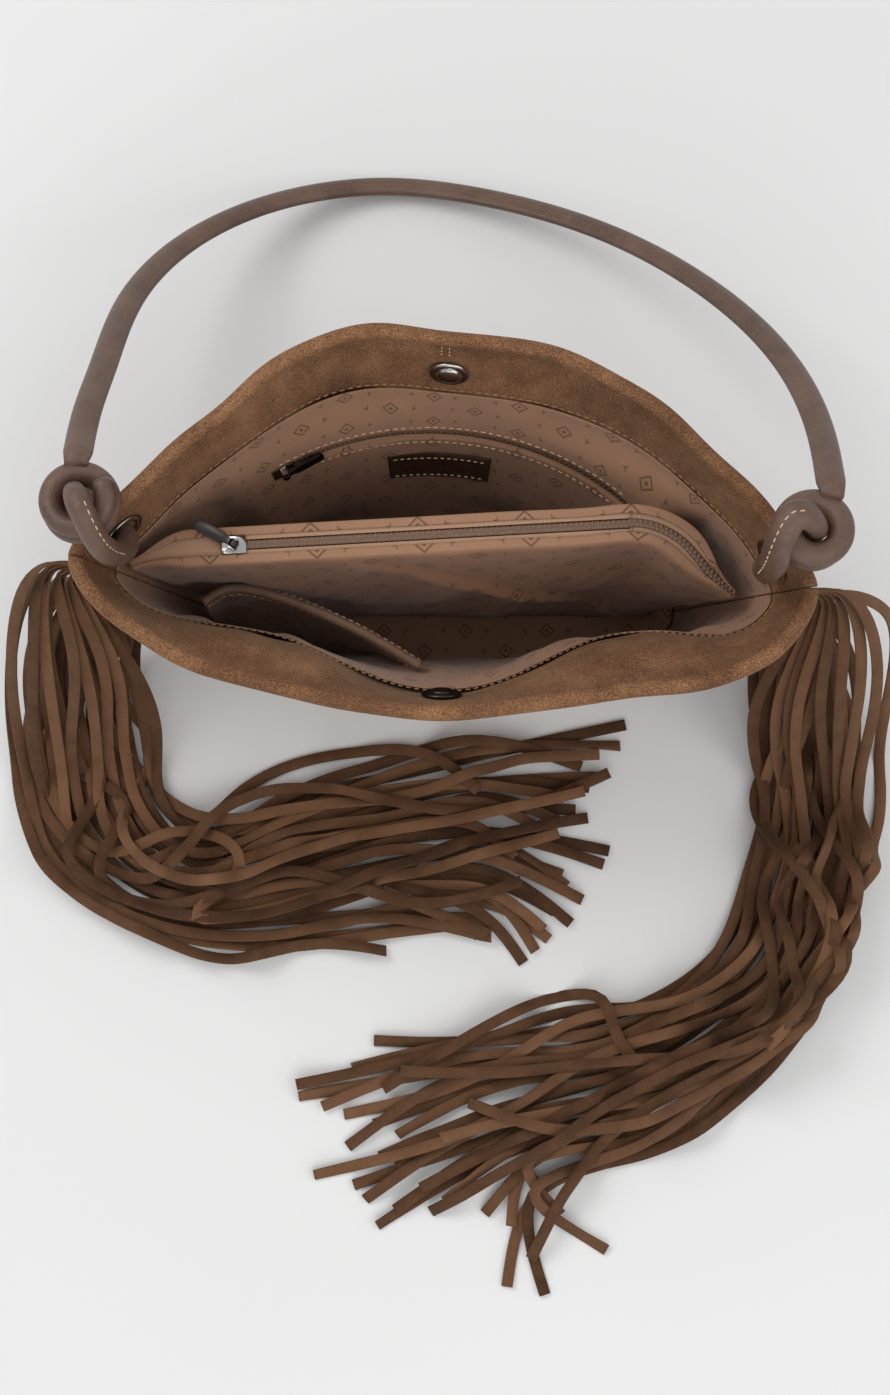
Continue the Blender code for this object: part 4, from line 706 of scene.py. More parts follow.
def wall_point(phi, v):
    """The outer face: a loft from a squarish base to the rim, with soft upright folds. Any array shape."""
    shape = np.broadcast(phi, v).shape
    phi = np.mod(np.broadcast_to(phi, shape).ravel(), 2.0)
    v = np.broadcast_to(v, shape).ravel()
    rim = cubic(RIM_KNOTS, RIM_LOOP, phi, closed=True)
    turn = math.pi * phi
    power = 2.0 / BASE_SQUARENESS
    base_x = -np.sign(np.cos(turn)) * np.abs(np.cos(turn)) ** power * (BASE_HALF_LENGTH + SUEDE)
    base_y = np.sign(np.sin(turn)) * np.abs(np.sin(turn)) ** power * (BASE_HALF_WIDTH + SUEDE)
    inside = np.sin(turn) ** 2
    flare = np.where(phi > 1.0, FRONT_FLARE, BACK_FLARE)
    rise = np.clip(v, 0.0, None) ** (1.0 + (flare - 1.0) * inside)
    wave = np.sin(2.0 * math.pi * (FOLD_COUNT * phi + 0.4 * v + 0.5))
    fold = FOLD_DEPTH * inside * np.sin(math.pi * np.clip(v, 0.0, 1.0)) * wave
    side = np.where(phi > 1.0, -1.0, 1.0)
    x = base_x + (rim[:, 0] - base_x) * rise
    y = base_y + (rim[:, 1] - base_y) * rise + side * fold
    return np.stack([x, y, rim[:, 2] * v], axis=1).reshape(shape + (3,))


def wall_normal(phi, v):
    """Unit vectors out of the bag, from differences across a small step."""
    step = 2e-3
    along = wall_point(phi + step, v) - wall_point(phi - step, v)
    up = wall_point(phi, np.clip(v + step, 0.0, 1.0)) - wall_point(phi, np.clip(v - step, 0.0, 1.0))
    return unit(np.cross(up, along))


def sag(phi, v):
    """How far the front leans into the bag under its rim, most at its two quarters."""
    turn = np.mod(phi, 2.0)
    deep = np.where(turn < 1.5, FRONT_SAG_RIGHT, FRONT_SAG_LEFT) * np.sin(2.0 * math.pi * turn) ** 2
    upright = smooth_step((v - 0.30) / 0.32) * smooth_step((0.985 - v) / 0.24)
    return np.where(turn > 1.0, deep, 0.0) * upright


def wall(phi, v, depth):
    """A point at a depth inside the outer face, with each half drawn off the side seam."""
    deep = np.asarray(depth) + sag(phi, v)
    made = wall_point(phi, v) - wall_normal(phi, v) * deep[..., None]
    made[..., 1] += SEAM_HALF * np.where(np.mod(phi, 2.0) >= 1.0, -1.0, 1.0)
    return made


def half_places(side, count):
    """Places along one half of the bag, closer together at its tips."""
    even = np.linspace(0.0, 1.0, count)
    spread = 0.75 * even + 0.25 * (0.5 - 0.5 * np.cos(math.pi * even))
    return np.clip(spread, 1e-6, 1.0 - 1e-6) + (0.0 if side == "back" else 1.0)


def wall_spot(phi, height, depth):
    """A place on the wall at a height, and the direction out of the bag there."""
    rim = cubic(RIM_KNOTS, RIM_LOOP, np.array([phi % 2.0]), closed=True)[0]
    v = np.array([height / rim[2]])
    phi = np.array([phi])
    return wall(phi, v, np.array([depth]))[0], wall_normal(phi, v)[0]


SHELL_COLUMNS = 220
RIM_SWELL = 0.0018


def build_shell():
    """Suede outside, turned over the rim into the facing: up the outside, round the rim, down the inside."""
    made = {}
    for side in ("back", "front"):
        phi = half_places(side, SHELL_COLUMNS)
        around = math.pi * phi
        tip = np.sin(around) ** 2
        body = np.linspace(0.0, 0.955, 44)
        bend = np.linspace(0.0, math.pi / 2, 9)[1:]
        half = SHELL_THICKNESS / 2 + RIM_SWELL
        crest = 1.0 - half / 0.19
        outer_v = np.concatenate([body, crest + (1.0 - crest) * np.sin(bend)])
        outer_d = np.concatenate([np.zeros(len(body)), half * (1.0 - np.cos(bend))])
        swell = RIM_SWELL * smooth_step((outer_v - 0.93) / 0.06)
        outer_d = outer_d - swell
        inner_v = np.concatenate([body, crest + (1.0 - crest) * np.sin(bend)])
        deep = SUEDE + (SHELL_THICKNESS - SUEDE) * smooth_step((body - 0.30) / 0.10)
        inner_d = np.concatenate([deep, 2.0 * half - half * (1.0 - np.cos(bend))])
        inner_d = inner_d - RIM_SWELL * smooth_step((inner_v - 0.93) / 0.06)
        grid_phi, grid_v = np.meshgrid(phi, outer_v)
        far = grid_phi * 0.36
        lift = 0.0012 * soft_noise(far, 0.0 * far, 0.110, 3) * smooth_step((grid_v - 0.7) / 0.3)
        swell = np.clip(soft_noise(far, grid_v * 0.10, 0.060, 7) + 0.4, 0.0, None)
        push = 0.0026 * swell * np.sin(math.pi * np.clip(grid_v, 0.0, 1.0)) * tip
        push = push + 0.0007 * soft_noise(far, grid_v * 0.12, 0.040, 11) * smooth_step((grid_v - 0.80) / 0.2)
        outer = wall(grid_phi, grid_v, outer_d[:, None] - push)
        inner = wall(grid_phi, np.meshgrid(phi, inner_v)[1], inner_d[:, None] - push)
        outer[..., 2] += lift
        inner[..., 2] += lift
        outer[..., 2] = np.maximum(outer[..., 2], 0.0)
        inner[..., 2] = np.maximum(inner[..., 2], 0.0)
        made[side] = sheet_piece("suede_" + side, outer, inner, metres_uv(outer), SUEDE_FINISH, "bag",
                                 slot="suede", replaces=("panel_" + side, "facing_" + side))
    return made


def facing_foot(phi):
    """Height of the facing's lower edge, as a share of the rim's: deeper at the front's two quarters."""
    dip = np.sin(2.0 * math.pi * np.mod(phi, 1.0)) ** 2
    return FACING_FOOT - np.where(np.mod(phi, 2.0) > 1.0, 0.19, 0.0) * dip


def build_rim_stitches():
    """Thread along the foot of the facing, and the short upright row at the middle of the back rim."""
    for side in ("back", "front"):
        phi = half_places(side, 400)[8:-8]
        v = facing_foot(phi) + 0.016
        line = wall(phi, v, np.full(len(phi), SHELL_THICKNESS + 0.0001))
        stitch_row("facing_stitches_" + side, line, -wall_normal(phi, v), FACING_THREAD, "bag", length=0.0028)
    v = np.linspace(0.930, 0.985, 24)
    for word, phi in (("left", 0.492), ("right", 0.500)):
        phi = np.full(24, phi)
        line = wall(phi, v, np.full(24, SHELL_THICKNESS + 0.0006))
        stitch_row("rim_stitches_" + word, line, -wall_normal(phi, v), PALE_THREAD, "bag", length=0.0016)


def zip_radius(height):
    return BACK_ZIP_RADIUS + BACK_ZIP_LEAN * (height - BACK_ZIP_HEIGHT)


def drawn_to_zip(points):
    """The back lining, drawn onto the arc of its zip, with a narrow channel where the zip shows."""
    offset = points[..., :2] - BACK_ZIP_CENTRE
    radius = np.linalg.norm(offset, axis=-1)
    angle = np.arctan2(offset[..., 1], offset[..., 0])
    height = points[..., 2]
    goal = zip_radius(height) - 0.00085
    margin = math.radians(9.0)
    reach = margin + math.radians(4.0)
    across = smooth_step((angle - BACK_ZIP_END + reach) / margin)
    across = across * smooth_step((BACK_ZIP_START + reach - angle) / margin)
    upright = smooth_step((height - 0.040) / 0.030) * smooth_step((0.149 - height) / 0.020)
    drawn = np.minimum(radius, radius + (goal - radius) * across * upright)
    slit = 1.0 - smooth_step((np.abs(height - BACK_ZIP_HEIGHT) - 0.0034) / 0.0008)
    slit = slit * smooth_step((angle - BACK_ZIP_END) / 0.01) * smooth_step((BACK_ZIP_START - angle) / 0.01)
    drawn = drawn + 0.0026 * slit
    out = points.copy()
    out[..., 0] = BACK_ZIP_CENTRE[0] + np.cos(angle) * drawn
    out[..., 1] = BACK_ZIP_CENTRE[1] + np.sin(angle) * drawn
    return out, across * upright


def build_linings():
    """The two lining walls, with shallow creases that only swell into the bag."""
    made = {}
    for side in ("back", "front"):
        phi = half_places(side, 200)
        low = np.linspace(LINING_FOOT, 0.56, 30)[:-1]
        slit = np.linspace(0.56, 0.63, 40)[:-1]
        high = np.linspace(0.63, FACING_FOOT + 0.004, 22)
        heights = np.concatenate([low, slit, high])
        grid_phi, grid_v = np.meshgrid(phi, heights)
        grid_v = grid_v * (facing_foot(grid_phi) + 0.004) / (FACING_FOOT + 0.004)
        far = grid_phi * 0.36
        level = soft_noise(far + grid_v * 0.06, grid_v * 0.12, 0.055, 21) * 0.7
        level = level + soft_noise(far + grid_v * 0.1, grid_v * 0.10, 0.022, 23) * 0.3
        below_facing = smooth_step((facing_foot(grid_phi) - grid_v) / 0.08)
        fade = below_facing * np.sin(math.pi * np.mod(grid_phi, 1.0)) ** 0.5
        crease = 0.0034 * np.clip(level + 0.30, 0.0, None) * fade
        depth = np.full(grid_v.shape, LINING_DEPTH)
        surface = wall(grid_phi, grid_v, depth)
        inward = -wall_normal(grid_phi, grid_v)
        if side == "back":
            surface, held = drawn_to_zip(surface)
            crease = crease * (1.0 - held * 0.80)
        inner = surface + inward * (crease + LINING)[..., None]
        outer = surface + inward * crease[..., None]
        made[side] = sheet_piece("lining_cloth_" + side, outer, inner, metres_uv(outer), LINING_FINISH, "bag",
                                 slot="lining", replaces=("lining_" + side,))
    return made


def build_divider():
    """The two walls of the middle compartment: a folded lip along the zip, then down to the base."""
    made = {}
    count = 160
    share = np.linspace(0.0, 1.0, count)
    top = curve_through(DIVIDER_TOP, count)
    run = np.gradient(top, axis=0)
    run[:, 2] = 0.0
    run = unit(run)
    taper = smooth_step(share / 0.10) * smooth_step((1.0 - share) / 0.12)
    narrow = (0.25 + 0.75 * taper)[:, None]
    lift = np.array([0.0, 0.0, 0.0012])
    for word, sign in (("front", -1.0), ("back", 1.0)):
        side = np.stack([-run[:, 1], run[:, 0], np.zeros(count)], axis=1) * sign
        foot = np.stack([-DIVIDER_FOOT_LENGTH + 2.0 * DIVIDER_FOOT_LENGTH * share,
                         np.full(count, sign * DIVIDER_FOOT_HALF),
                         np.full(count, DIVIDER_FOOT_HEIGHT)], axis=1)
        lip = top + side * DIVIDER_LIP * narrow + lift
        shoulder = top + side * DIVIDER_HALF_TOP * narrow + lift
        corner = (1.0 - np.linspace(0.0, 1.0, 6)[:, None, None]) * lip + np.linspace(0.0, 1.0, 6)[
            :, None, None] * (shoulder - side * 0.0006)
        down = np.linspace(0.0, 1.0, 46)[1:, None, None]
        belly = 0.006 * (1.0 if sign < 0.0 else 0.4) * np.sin(math.pi * share)[:, None]
        falling = shoulder + (foot - shoulder) * down + side * belly * np.sin(math.pi * down)
        far = share[None, :] * 0.27
        sag = down[..., 0] * 0.145
        crease = soft_noise(far, sag * 0.7, 0.060, 31 if sign < 0 else 37) * 0.0022
        crease = crease + soft_noise(far + sag * 0.8, sag * 0.6, 0.026, 41) * 0.0009
        slant = down[..., 0] - (share[None, :] - 0.30) * 1.25
        fold = np.exp(-(slant / 0.055) ** 2) * smooth_step(slant / 0.04 + 1.0)
        deepest = 0.0042 if sign < 0.0 else 0.0018
        crease = crease + deepest * fold * smooth_step((share[None, :] - 0.25) / 0.15)
        swelling = np.sin(math.pi * np.clip(down[..., 0] * 0.97, 0, 1)) ** 0.7
        falling = falling + side * (crease * swelling)[..., None]
        outer = np.concatenate([corner, falling])
        along = np.gradient(outer, axis=1)
        drop = np.gradient(outer, axis=0)
        normal = unit(np.cross(along, drop)) * -sign
        made[word] = sheet_piece("divider_wall_" + word, outer, outer + normal * LINING, metres_uv(outer),
                                 LINING_FINISH, "bag", slot="lining", replaces=("divider_" + word,))
    return made


def build_slip_pocket():
    """The sagging slip pocket on the front lining, its leather binding and the stitches under it."""
    count = 90
    mouth = curve_through(SLIP_MOUTH, count)
    phi = np.linspace(*SLIP_FOOT_PHI, count)
    foot = wall(phi, np.full(count, SLIP_FOOT), np.full(count, LINING_DEPTH + LINING + 0.0012))
    down = np.linspace(0.0, 1.0, 40)[:, None, None]
    share = np.linspace(0.0, 1.0, count)
    bow = np.sin(math.pi * share)[:, None] * np.array([0.0, 0.008, 0.0])
    outer = mouth + (foot - mouth) * down + bow * np.sin(math.pi * down)
    normal = unit(np.cross(np.gradient(outer, axis=1), np.gradient(outer, axis=0)))
    crease = soft_noise(share[None, :] * 0.11, down[..., 0] * 0.09, 0.035, 51) * 0.0014
    outer = outer + normal * (crease * np.sin(math.pi * down[..., 0]))[..., None]
    made = sheet_piece("slip_pocket_cloth", outer, outer + normal * LINING, metres_uv(outer), LINING_FINISH,
                       "bag", slot="lining", replaces=("slip_pocket",))
    rise = unit(mouth - outer[1])
    edge = mouth + rise * (BINDING_RADIUS * 0.6)
    section = oval(BINDING_RADIUS * 1.05, BINDING_RADIUS * 1.5, 16, 2.6)
    tube_piece("pocket_binding", edge, section, normal[0], BINDING_FINISH, "bag", slot="strap_leather",
               replaces=("slip_pocket_binding",))
    line = mouth - rise * 0.0012
    stitch_row("pocket_binding_stitches", line + normal[0] * 0.0026, normal[0], PALE_THREAD, "bag")
    stitch_row("pocket_binding_stitches_behind", line - normal[0] * 0.0022, -normal[0], PALE_THREAD, "bag")
    return made


def zip_teeth(name, places, finish, **more):
    """Interlocked coil teeth: one small rounded block for each turn, from alternate sides."""
    centre, along, up, out = places
    count = len(centre)
    sign = np.where(np.arange(count) % 2 == 0, 1.0, -1.0)[:, None]
    half_length = TOOTH_PITCH * 0.48
    reach = ZIP_SLOT + COIL_WIDTH
    profile = np.array([(-0.4, 0.35), (0.0, 0.85), (1.0, 1.0), (1.35, 0.75), (1.6, 0.2)])
    rows = []
    for across, tall in profile:
        for a, o in ((-1.0, -1.0), (-0.55, 1.0), (0.55, 1.0), (1.0, -1.0)):
            rows.append((a * half_length, across * reach * 0.62, o * 0.0008 * tall))
    block = np.array(rows)
    verts = (centre[:, None, :] + along[:, None, :] * block[None, :, :1]
             + (up * sign)[:, None, :] * block[None, :, 1:2] + out[:, None, :] * block[None, :, 2:])
    faces = grid_faces(5, 4, wrap_cols=True).tolist() + [[0, 1, 2, 3], [16, 17, 18, 19]]
    every = [[i + 20 * n for i in face] for n in range(count) for face in faces]
    make_piece(name, verts.reshape(-1, 3), every, finish, "bag", **more)
    tube_piece(name + "_cord", centre - out * 0.0002, oval(reach * 0.95, 0.0005, 8), up, finish, "bag")


def build_zips():
    """Teeth in place of the plain coils, the compartment zip's tape ends, and rounded sliders and pulls."""
    arc = (BACK_ZIP_START - BACK_ZIP_END) * BACK_ZIP_RADIUS
    angle = np.linspace(BACK_ZIP_START, BACK_ZIP_END, int(arc / TOOTH_PITCH))
    radial = np.stack([np.cos(angle), np.sin(angle), np.zeros(len(angle))], axis=1)
    place = radial * BACK_ZIP_RADIUS + np.array([*BACK_ZIP_CENTRE, BACK_ZIP_HEIGHT])
    along = np.stack([np.sin(angle), -np.cos(angle), np.zeros(len(angle))], axis=1)
    up = unit(radial * BACK_ZIP_LEAN + np.array([0.0, 0.0, 1.0]))
    out = np.cross(along, up)
    zip_teeth("back_zip_teeth", (place, along, up, out), TEETH_FINISH, slot="zip_coil",
              replaces=("back_zip_coil_lower", "back_zip_coil_upper"))
    for word, sign in (("upper", 1.0), ("lower", -1.0)):
        line = place + up * sign * 0.0068 + out * 0.0019
        stitch_row("back_zip_stitches_" + word, line[3:-3], out[3:-3], PALE_THREAD, "bag")
    middle = np.array(DIVIDER_TOP[4])
    straight = unit(np.array(DIVIDER_TOP[7]) - np.array(DIVIDER_TOP[2]))
    count = int(2.0 * DIVIDER_ZIP_HALF / TOOTH_PITCH)
    shift = np.linspace(-DIVIDER_ZIP_HALF, DIVIDER_ZIP_HALF, count)
    place = middle + straight * shift[:, None]
    flat = np.zeros((count, 3))
    out = flat + np.array([0.0, 0.0, 1.0])
    up = np.cross(out, flat + straight)
    zip_teeth("divider_zip_teeth", (place, flat + straight, up, out), TEETH_FINISH, slot="zip_coil",
              replaces=("divider_zip_coil_lower", "divider_zip_coil_upper"))
    top = curve_through(DIVIDER_TOP, 400)
    right_end = top[top[:, 0] > DIVIDER_ZIP_HALF - 0.010]
    left_end = top[top[:, 0] < -0.1015]
    for word, part in (("right", right_end), ("left", left_end)):
        length = np.linalg.norm(np.diff(part, axis=0), axis=1).sum()
        run = spread_evenly(part, max(8, int(length / TOOTH_PITCH)))
        along = unit(np.gradient(run, axis=0))
        up = unit(np.cross(np.array([0.0, 0.0, 1.0]), along))
        out = np.cross(along, up)
        narrow = np.clip(np.linspace(1.0, 0.3, len(run)), 0.0, 1.0)
        narrow = narrow if word == "right" else narrow[::-1]
        tube_piece("divider_zip_tape_end_" + word, run - out * 0.0008, oval(0.0078, 0.00035, 10), up,
                   TAPE_FINISH, "bag", grow=narrow)
        if word == "right":
            zip_teeth("divider_zip_teeth_end", (run, along, up, out), TEETH_FINISH)
    for node in ("back_zip_slider", "divider_zip_slider"):
        softened(node, CHROME_FINISH, node, 0.00028)
    for node in ("back_zip_pull", "divider_zip_pull"):
        softened(node, DARK_METAL_FINISH, node, 0.00030)


def build_label():
    """A bare leather patch on the back lining, stitched along its top and bottom."""
    count = 60
    angle = np.linspace(LABEL_MIDDLE + LABEL_HALF_ANGLE, LABEL_MIDDLE - LABEL_HALF_ANGLE, count)
    height = np.linspace(LABEL_LOW, LABEL_HIGH, 14)
    grid_angle, grid_z = np.meshgrid(angle, height)
    edge_u = np.minimum(np.linspace(0.0, 1.0, count), np.linspace(1.0, 0.0, count)) * 0.053
    edge_v = np.minimum(height - LABEL_LOW, LABEL_HIGH - height)
    near = np.minimum(edge_u[None, :], edge_v[:, None])
    crown = 0.0012 * smooth_step(near / 0.0012) ** 0.5
    levels = []
    for inward in (-0.0001, 0.0001 + crown):
        radius = zip_radius(grid_z) - 0.00145 - inward
        levels.append(np.stack([BACK_ZIP_CENTRE[0] + radius * np.cos(grid_angle),
                                BACK_ZIP_CENTRE[1] + radius * np.sin(grid_angle), grid_z], axis=2))
    made = sheet_piece("label_leather_patch", levels[0], levels[1], metres_uv(levels[0]), LABEL_FINISH, "bag",
                       slot="label_leather", replaces=("label_patch",))
    inside = unit(levels[1] - levels[0])
    for word, row in (("low", 2), ("high", -3)):
        line = levels[1][row, 3:-3]
        stitch_row("label_stitches_" + word, line, inside[row, 3:-3], PALE_THREAD, "bag", length=0.0021)
    return made


def build_metal():
    """Snaps and eyelets."""
    stack = 0.0033
    depth = stack + 0.0009
    r, t = 0.0092, 0.0030
    for name, phi, height, finish in (("snap_back", 0.5, 0.170, CHROME_FINISH),
                                      ("snap_front", 1.5, 0.158, DARK_METAL_FINISH)):
        place, out = wall_spot(phi, height, depth)
        place = place + out * 0.0004
        dome = [(r * 0.62 * math.cos(a), t * 0.78 + t * 0.42 * math.sin(a)) for a in np.linspace(0.0, 1.5, 8)]
        profile = [(0.0, 0.0), (r * 0.95, 0.0), (r, t * 0.12), (r * 1.01, t * 0.34), (r * 0.96, t * 0.54),
                   (r * 0.86, t * 0.64), (r * 0.74, t * 0.62), (r * 0.67, t * 0.58), (r * 0.645, t * 0.66)]
        profile += dome + [(0.0, t * 1.20)]
        turned_piece(name + "_disc", profile, place, -out, finish, "bag", slot="gunmetal", replaces=(name,))
    for side, phi in (("left", LEFT_EYELET_PHI), ("right", RIGHT_EYELET_PHI)):
        place, out = wall_spot(phi, EYELET_HEIGHT, stack / 2)
        face = stack / 2 + 0.0013
        for word, sign, node in (("inside", -1.0, "eyelet_"), ("outside", 1.0, "eyelet_washer_")):
            turn = np.linspace(0.0, 2.0 * math.pi, 21)[:-1]
            rings = [(0.0091 + 0.0017 * math.cos(a), face + 0.0009 * math.sin(a)) for a in turn]
            turned_piece("eyelet_ring_" + side + "_" + word, rings, place, out * sign, NICKEL_FINISH, "bag",
                         slot="gunmetal", replaces=(node + side,))
        barrel = [(0.0072, -face), (0.0078, -face), (0.0078, face), (0.0072, face)]
        turned_piece("eyelet_barrel_" + side, barrel, place, out, NICKEL_FINISH, "bag", slot="gunmetal")


# Strap

def rolled_section(half_width, half_thickness, sides=28):
    """A rolled strap's section: an oval with a flatter stitched edge on its inner side."""
    made = oval(half_width, half_thickness, sides, 2.3)
    inner = smooth_step(made[:, 0] / half_width)
    made[:, 1] *= 1.0 - 0.42 * inner
    made[:, 0] += inner * half_width * 0.16
    return made


def build_handle():
    """The long strap on its own route in a leaning plane, with rounded ends and a seam inside the curve."""
    route = curve_through(STRAP_ROUTE, 240)
    flat = np.stack([route[:, 0], route[:, 1], np.zeros(len(route))], axis=1)
    flat = spread_evenly(flat, 240)
    lie = np.array([[1.0, 0.0, 0.0], [0.0, math.cos(STRAP_LIE), math.sin(STRAP_LIE)],
                    [0.0, -math.sin(STRAP_LIE), math.cos(STRAP_LIE)]])
    yaw = np.array([[math.cos(STRAP_YAW), -math.sin(STRAP_YAW), 0.0],
                    [math.sin(STRAP_YAW), math.cos(STRAP_YAW), 0.0], [0.0, 0.0, 1.0]])
    turn = yaw @ lie
    tangent = unit(np.gradient(flat, axis=0))
    inward = np.stack([tangent[:, 1], -tangent[:, 0], np.zeros(len(flat))], axis=1)
    path = flat @ turn.T + STRAP_PIVOT
    path[0] += (path[0] - path[1]) / np.linalg.norm(path[0] - path[1]) * STRAP_INTO_KNOT
    path[-1] += (path[-1] - path[-2]) / np.linalg.norm(path[-1] - path[-2]) * STRAP_INTO_KNOT
    side = inward @ turn.T
    above = np.cross(side, tangent @ turn.T)
    above = above * np.sign(above[:, 2:3])
    grow = np.ones(240)
    grow[[0, -1]] = 0.75
    section = rolled_section(STRAP_HALF_WIDTH, STRAP_HALF_THICKNESS)
    tube_piece("handle_strap", path, section, side, STRAP_FINISH, "handle_body", grow=grow,
               slot="strap_leather", replaces=("handle",))
    seam = path + side * (STRAP_HALF_WIDTH * 0.62) + above * (STRAP_HALF_THICKNESS * 0.66)
    stitch_row("handle_stitches", seam[4:-4], above[4:-4], BROWN_THREAD, "handle_body", length=0.0030)


def knot_route(phi, centre, turning, leg):
    """The strap's knot: down through its ring, over the rim, out through the eyelet and round twice."""
    eye, out = wall_spot(phi, EYELET_HEIGHT, SUEDE)
    flat = unit(np.array([out[0], out[1], 0.0]))
    up = np.array([0.0, 0.0, 1.0])
    ring = np.array(centre)
    start = math.atan2(flat[1], flat[0])
    turn = np.linspace(0.0, turning, 24)
    rise = KNOT_PITCH * np.abs(turn) / (2.0 * math.pi)
    wraps = np.stack([ring[0] + KNOT_RING_RADIUS * np.cos(start + turn),
                      ring[1] + KNOT_RING_RADIUS * np.sin(start + turn), ring[2] + rise], axis=1)
    through = [eye + out * (LEG_STANDOFF * across) + up * lift for across, lift in LEG_THROUGH_EYE]
    join = wraps[0] - up * 0.006
    tail = wraps[-1] + (wraps[-1] - wraps[-2]) * 0.8
    whole = np.concatenate([np.array(leg), np.array(through), [join], wraps[1:], [tail]])
    return spread_evenly(curve_through(whole, 400), 260)


def build_knots():
    """Both knots, each one rolled strap, with a stitched seam on top of the leg through the eyelet."""
    for side, phi, centre, turning, leg in (
            ("left", LEFT_EYELET_PHI, LEFT_KNOT, LEFT_KNOT_TURN, LEFT_LEG),
            ("right", RIGHT_EYELET_PHI, RIGHT_KNOT, RIGHT_KNOT_TURN, RIGHT_LEG)):
        path = knot_route(phi, centre, turning, leg)
        sideways = carried(path, np.array([1.0, 0.3, 0.0]))
        end = np.minimum(np.arange(260), np.arange(260)[::-1]) / 259.0 * 0.3
        grow = 0.4 + 0.6 * np.sqrt(1.0 - (1.0 - np.clip(end / 0.004, 0.0, 1.0)) ** 2)
        place = np.arange(260) / 259.0
        grow = grow * (1.0 + 0.16 * smooth_step((place - 0.05) / 0.05) * smooth_step((0.27 - place) / 0.05))
        section = oval(KNOT_HALF_THICKNESS, KNOT_HALF_WIDTH, 24, 2.3)
        tube_piece("knot_strap_" + side, path, section, sideways, STRAP_FINISH, "bag", grow=grow,
                   slot="strap_leather", replaces=("knot_" + side,))
        tangent = unit(np.gradient(path, axis=0))[26:68]
        across = sideways[26:68]
        aim = np.array([0.65 if side == "left" else -0.65, -0.2, 1.0])
        aim = unit(aim - tangent * (tangent @ aim)[:, None])
        reach = np.stack([np.sum(aim * across, axis=1) / KNOT_HALF_THICKNESS,
                          np.sum(aim * np.cross(tangent, across), axis=1) / KNOT_HALF_WIDTH], axis=1)
        radius = grow[26:68] / np.linalg.norm(reach, axis=1)
        stitch_row("knot_stitches_" + side, path[26:68] + aim * radius[:, None], aim, PALE_THREAD, "bag")


def carried(path, first):
    """A sideways direction carried along a path without turning about it."""
    tangent = unit(np.gradient(path, axis=0))
    made = np.zeros(path.shape)
    side = first
    for k, along in enumerate(tangent):
        side = side - along * np.dot(side, along)
        side = side / np.linalg.norm(side)
        made[k] = side
    return made


# Fringe

class Pile:
    """Heights of what already lies on the table, on a fine square grid."""

    def __init__(self, low, high, cell=0.001):
        self.low = np.array(low)
        self.cell = cell
        self.top = np.zeros(np.ceil((np.array(high) - self.low) / cell).astype(int) + 1)

    def cells(self, points):
        place = np.clip(np.rint((points - self.low) / self.cell).astype(int), 0, np.array(self.top.shape) - 1)
        return place[..., 0], place[..., 1]

    def under(self, points):
        return self.top[self.cells(points)].max(axis=1)

    def lay(self, points, heights):
        np.maximum.at(self.top, self.cells(points), heights)


def gate_points(gates, share):
    """Where a strip crosses each gate, for its share of the spread at each."""
    middle = np.array([g[0] for g in gates])
    half = np.array([g[1] for g in gates])
    run = unit(np.gradient(middle, axis=0))
    across = np.stack([-run[:, 1], run[:, 0]], axis=1)
    return middle + across * (half * share)[:, None]


def drape(dist, need, places, z):
    """Lift a strip's joints until its flat lengths clear what lies under it."""
    slot = np.clip(np.searchsorted(places, dist, side="right") - 1, 0, len(places) - 2)
    along = (dist - places[slot]) / (places[slot + 1] - places[slot])
    for _ in range(500):
        short = need - (z[slot] * (1.0 - along) + z[slot + 1] * along)
        worst = np.argmax(short)
        if short[worst] < 1e-5:
            break
        k, t = slot[worst], along[worst]
        push = short[worst] / ((1.0 - t) ** 2 + t ** 2)
        z[k] += push * (1.0 - t)
        z[k + 1] += push * t
    return z


STRIP_STATIONS = 110
STRIP_JOINTS = 30
FREE_FALL = 0.030               # a strip hangs free of the pile this far from the seam
STRAY_START = 0.085             # a stray strip starts to rest on the others here
STRAY_EASE = 0.070
STRAY_TOP = 0.034


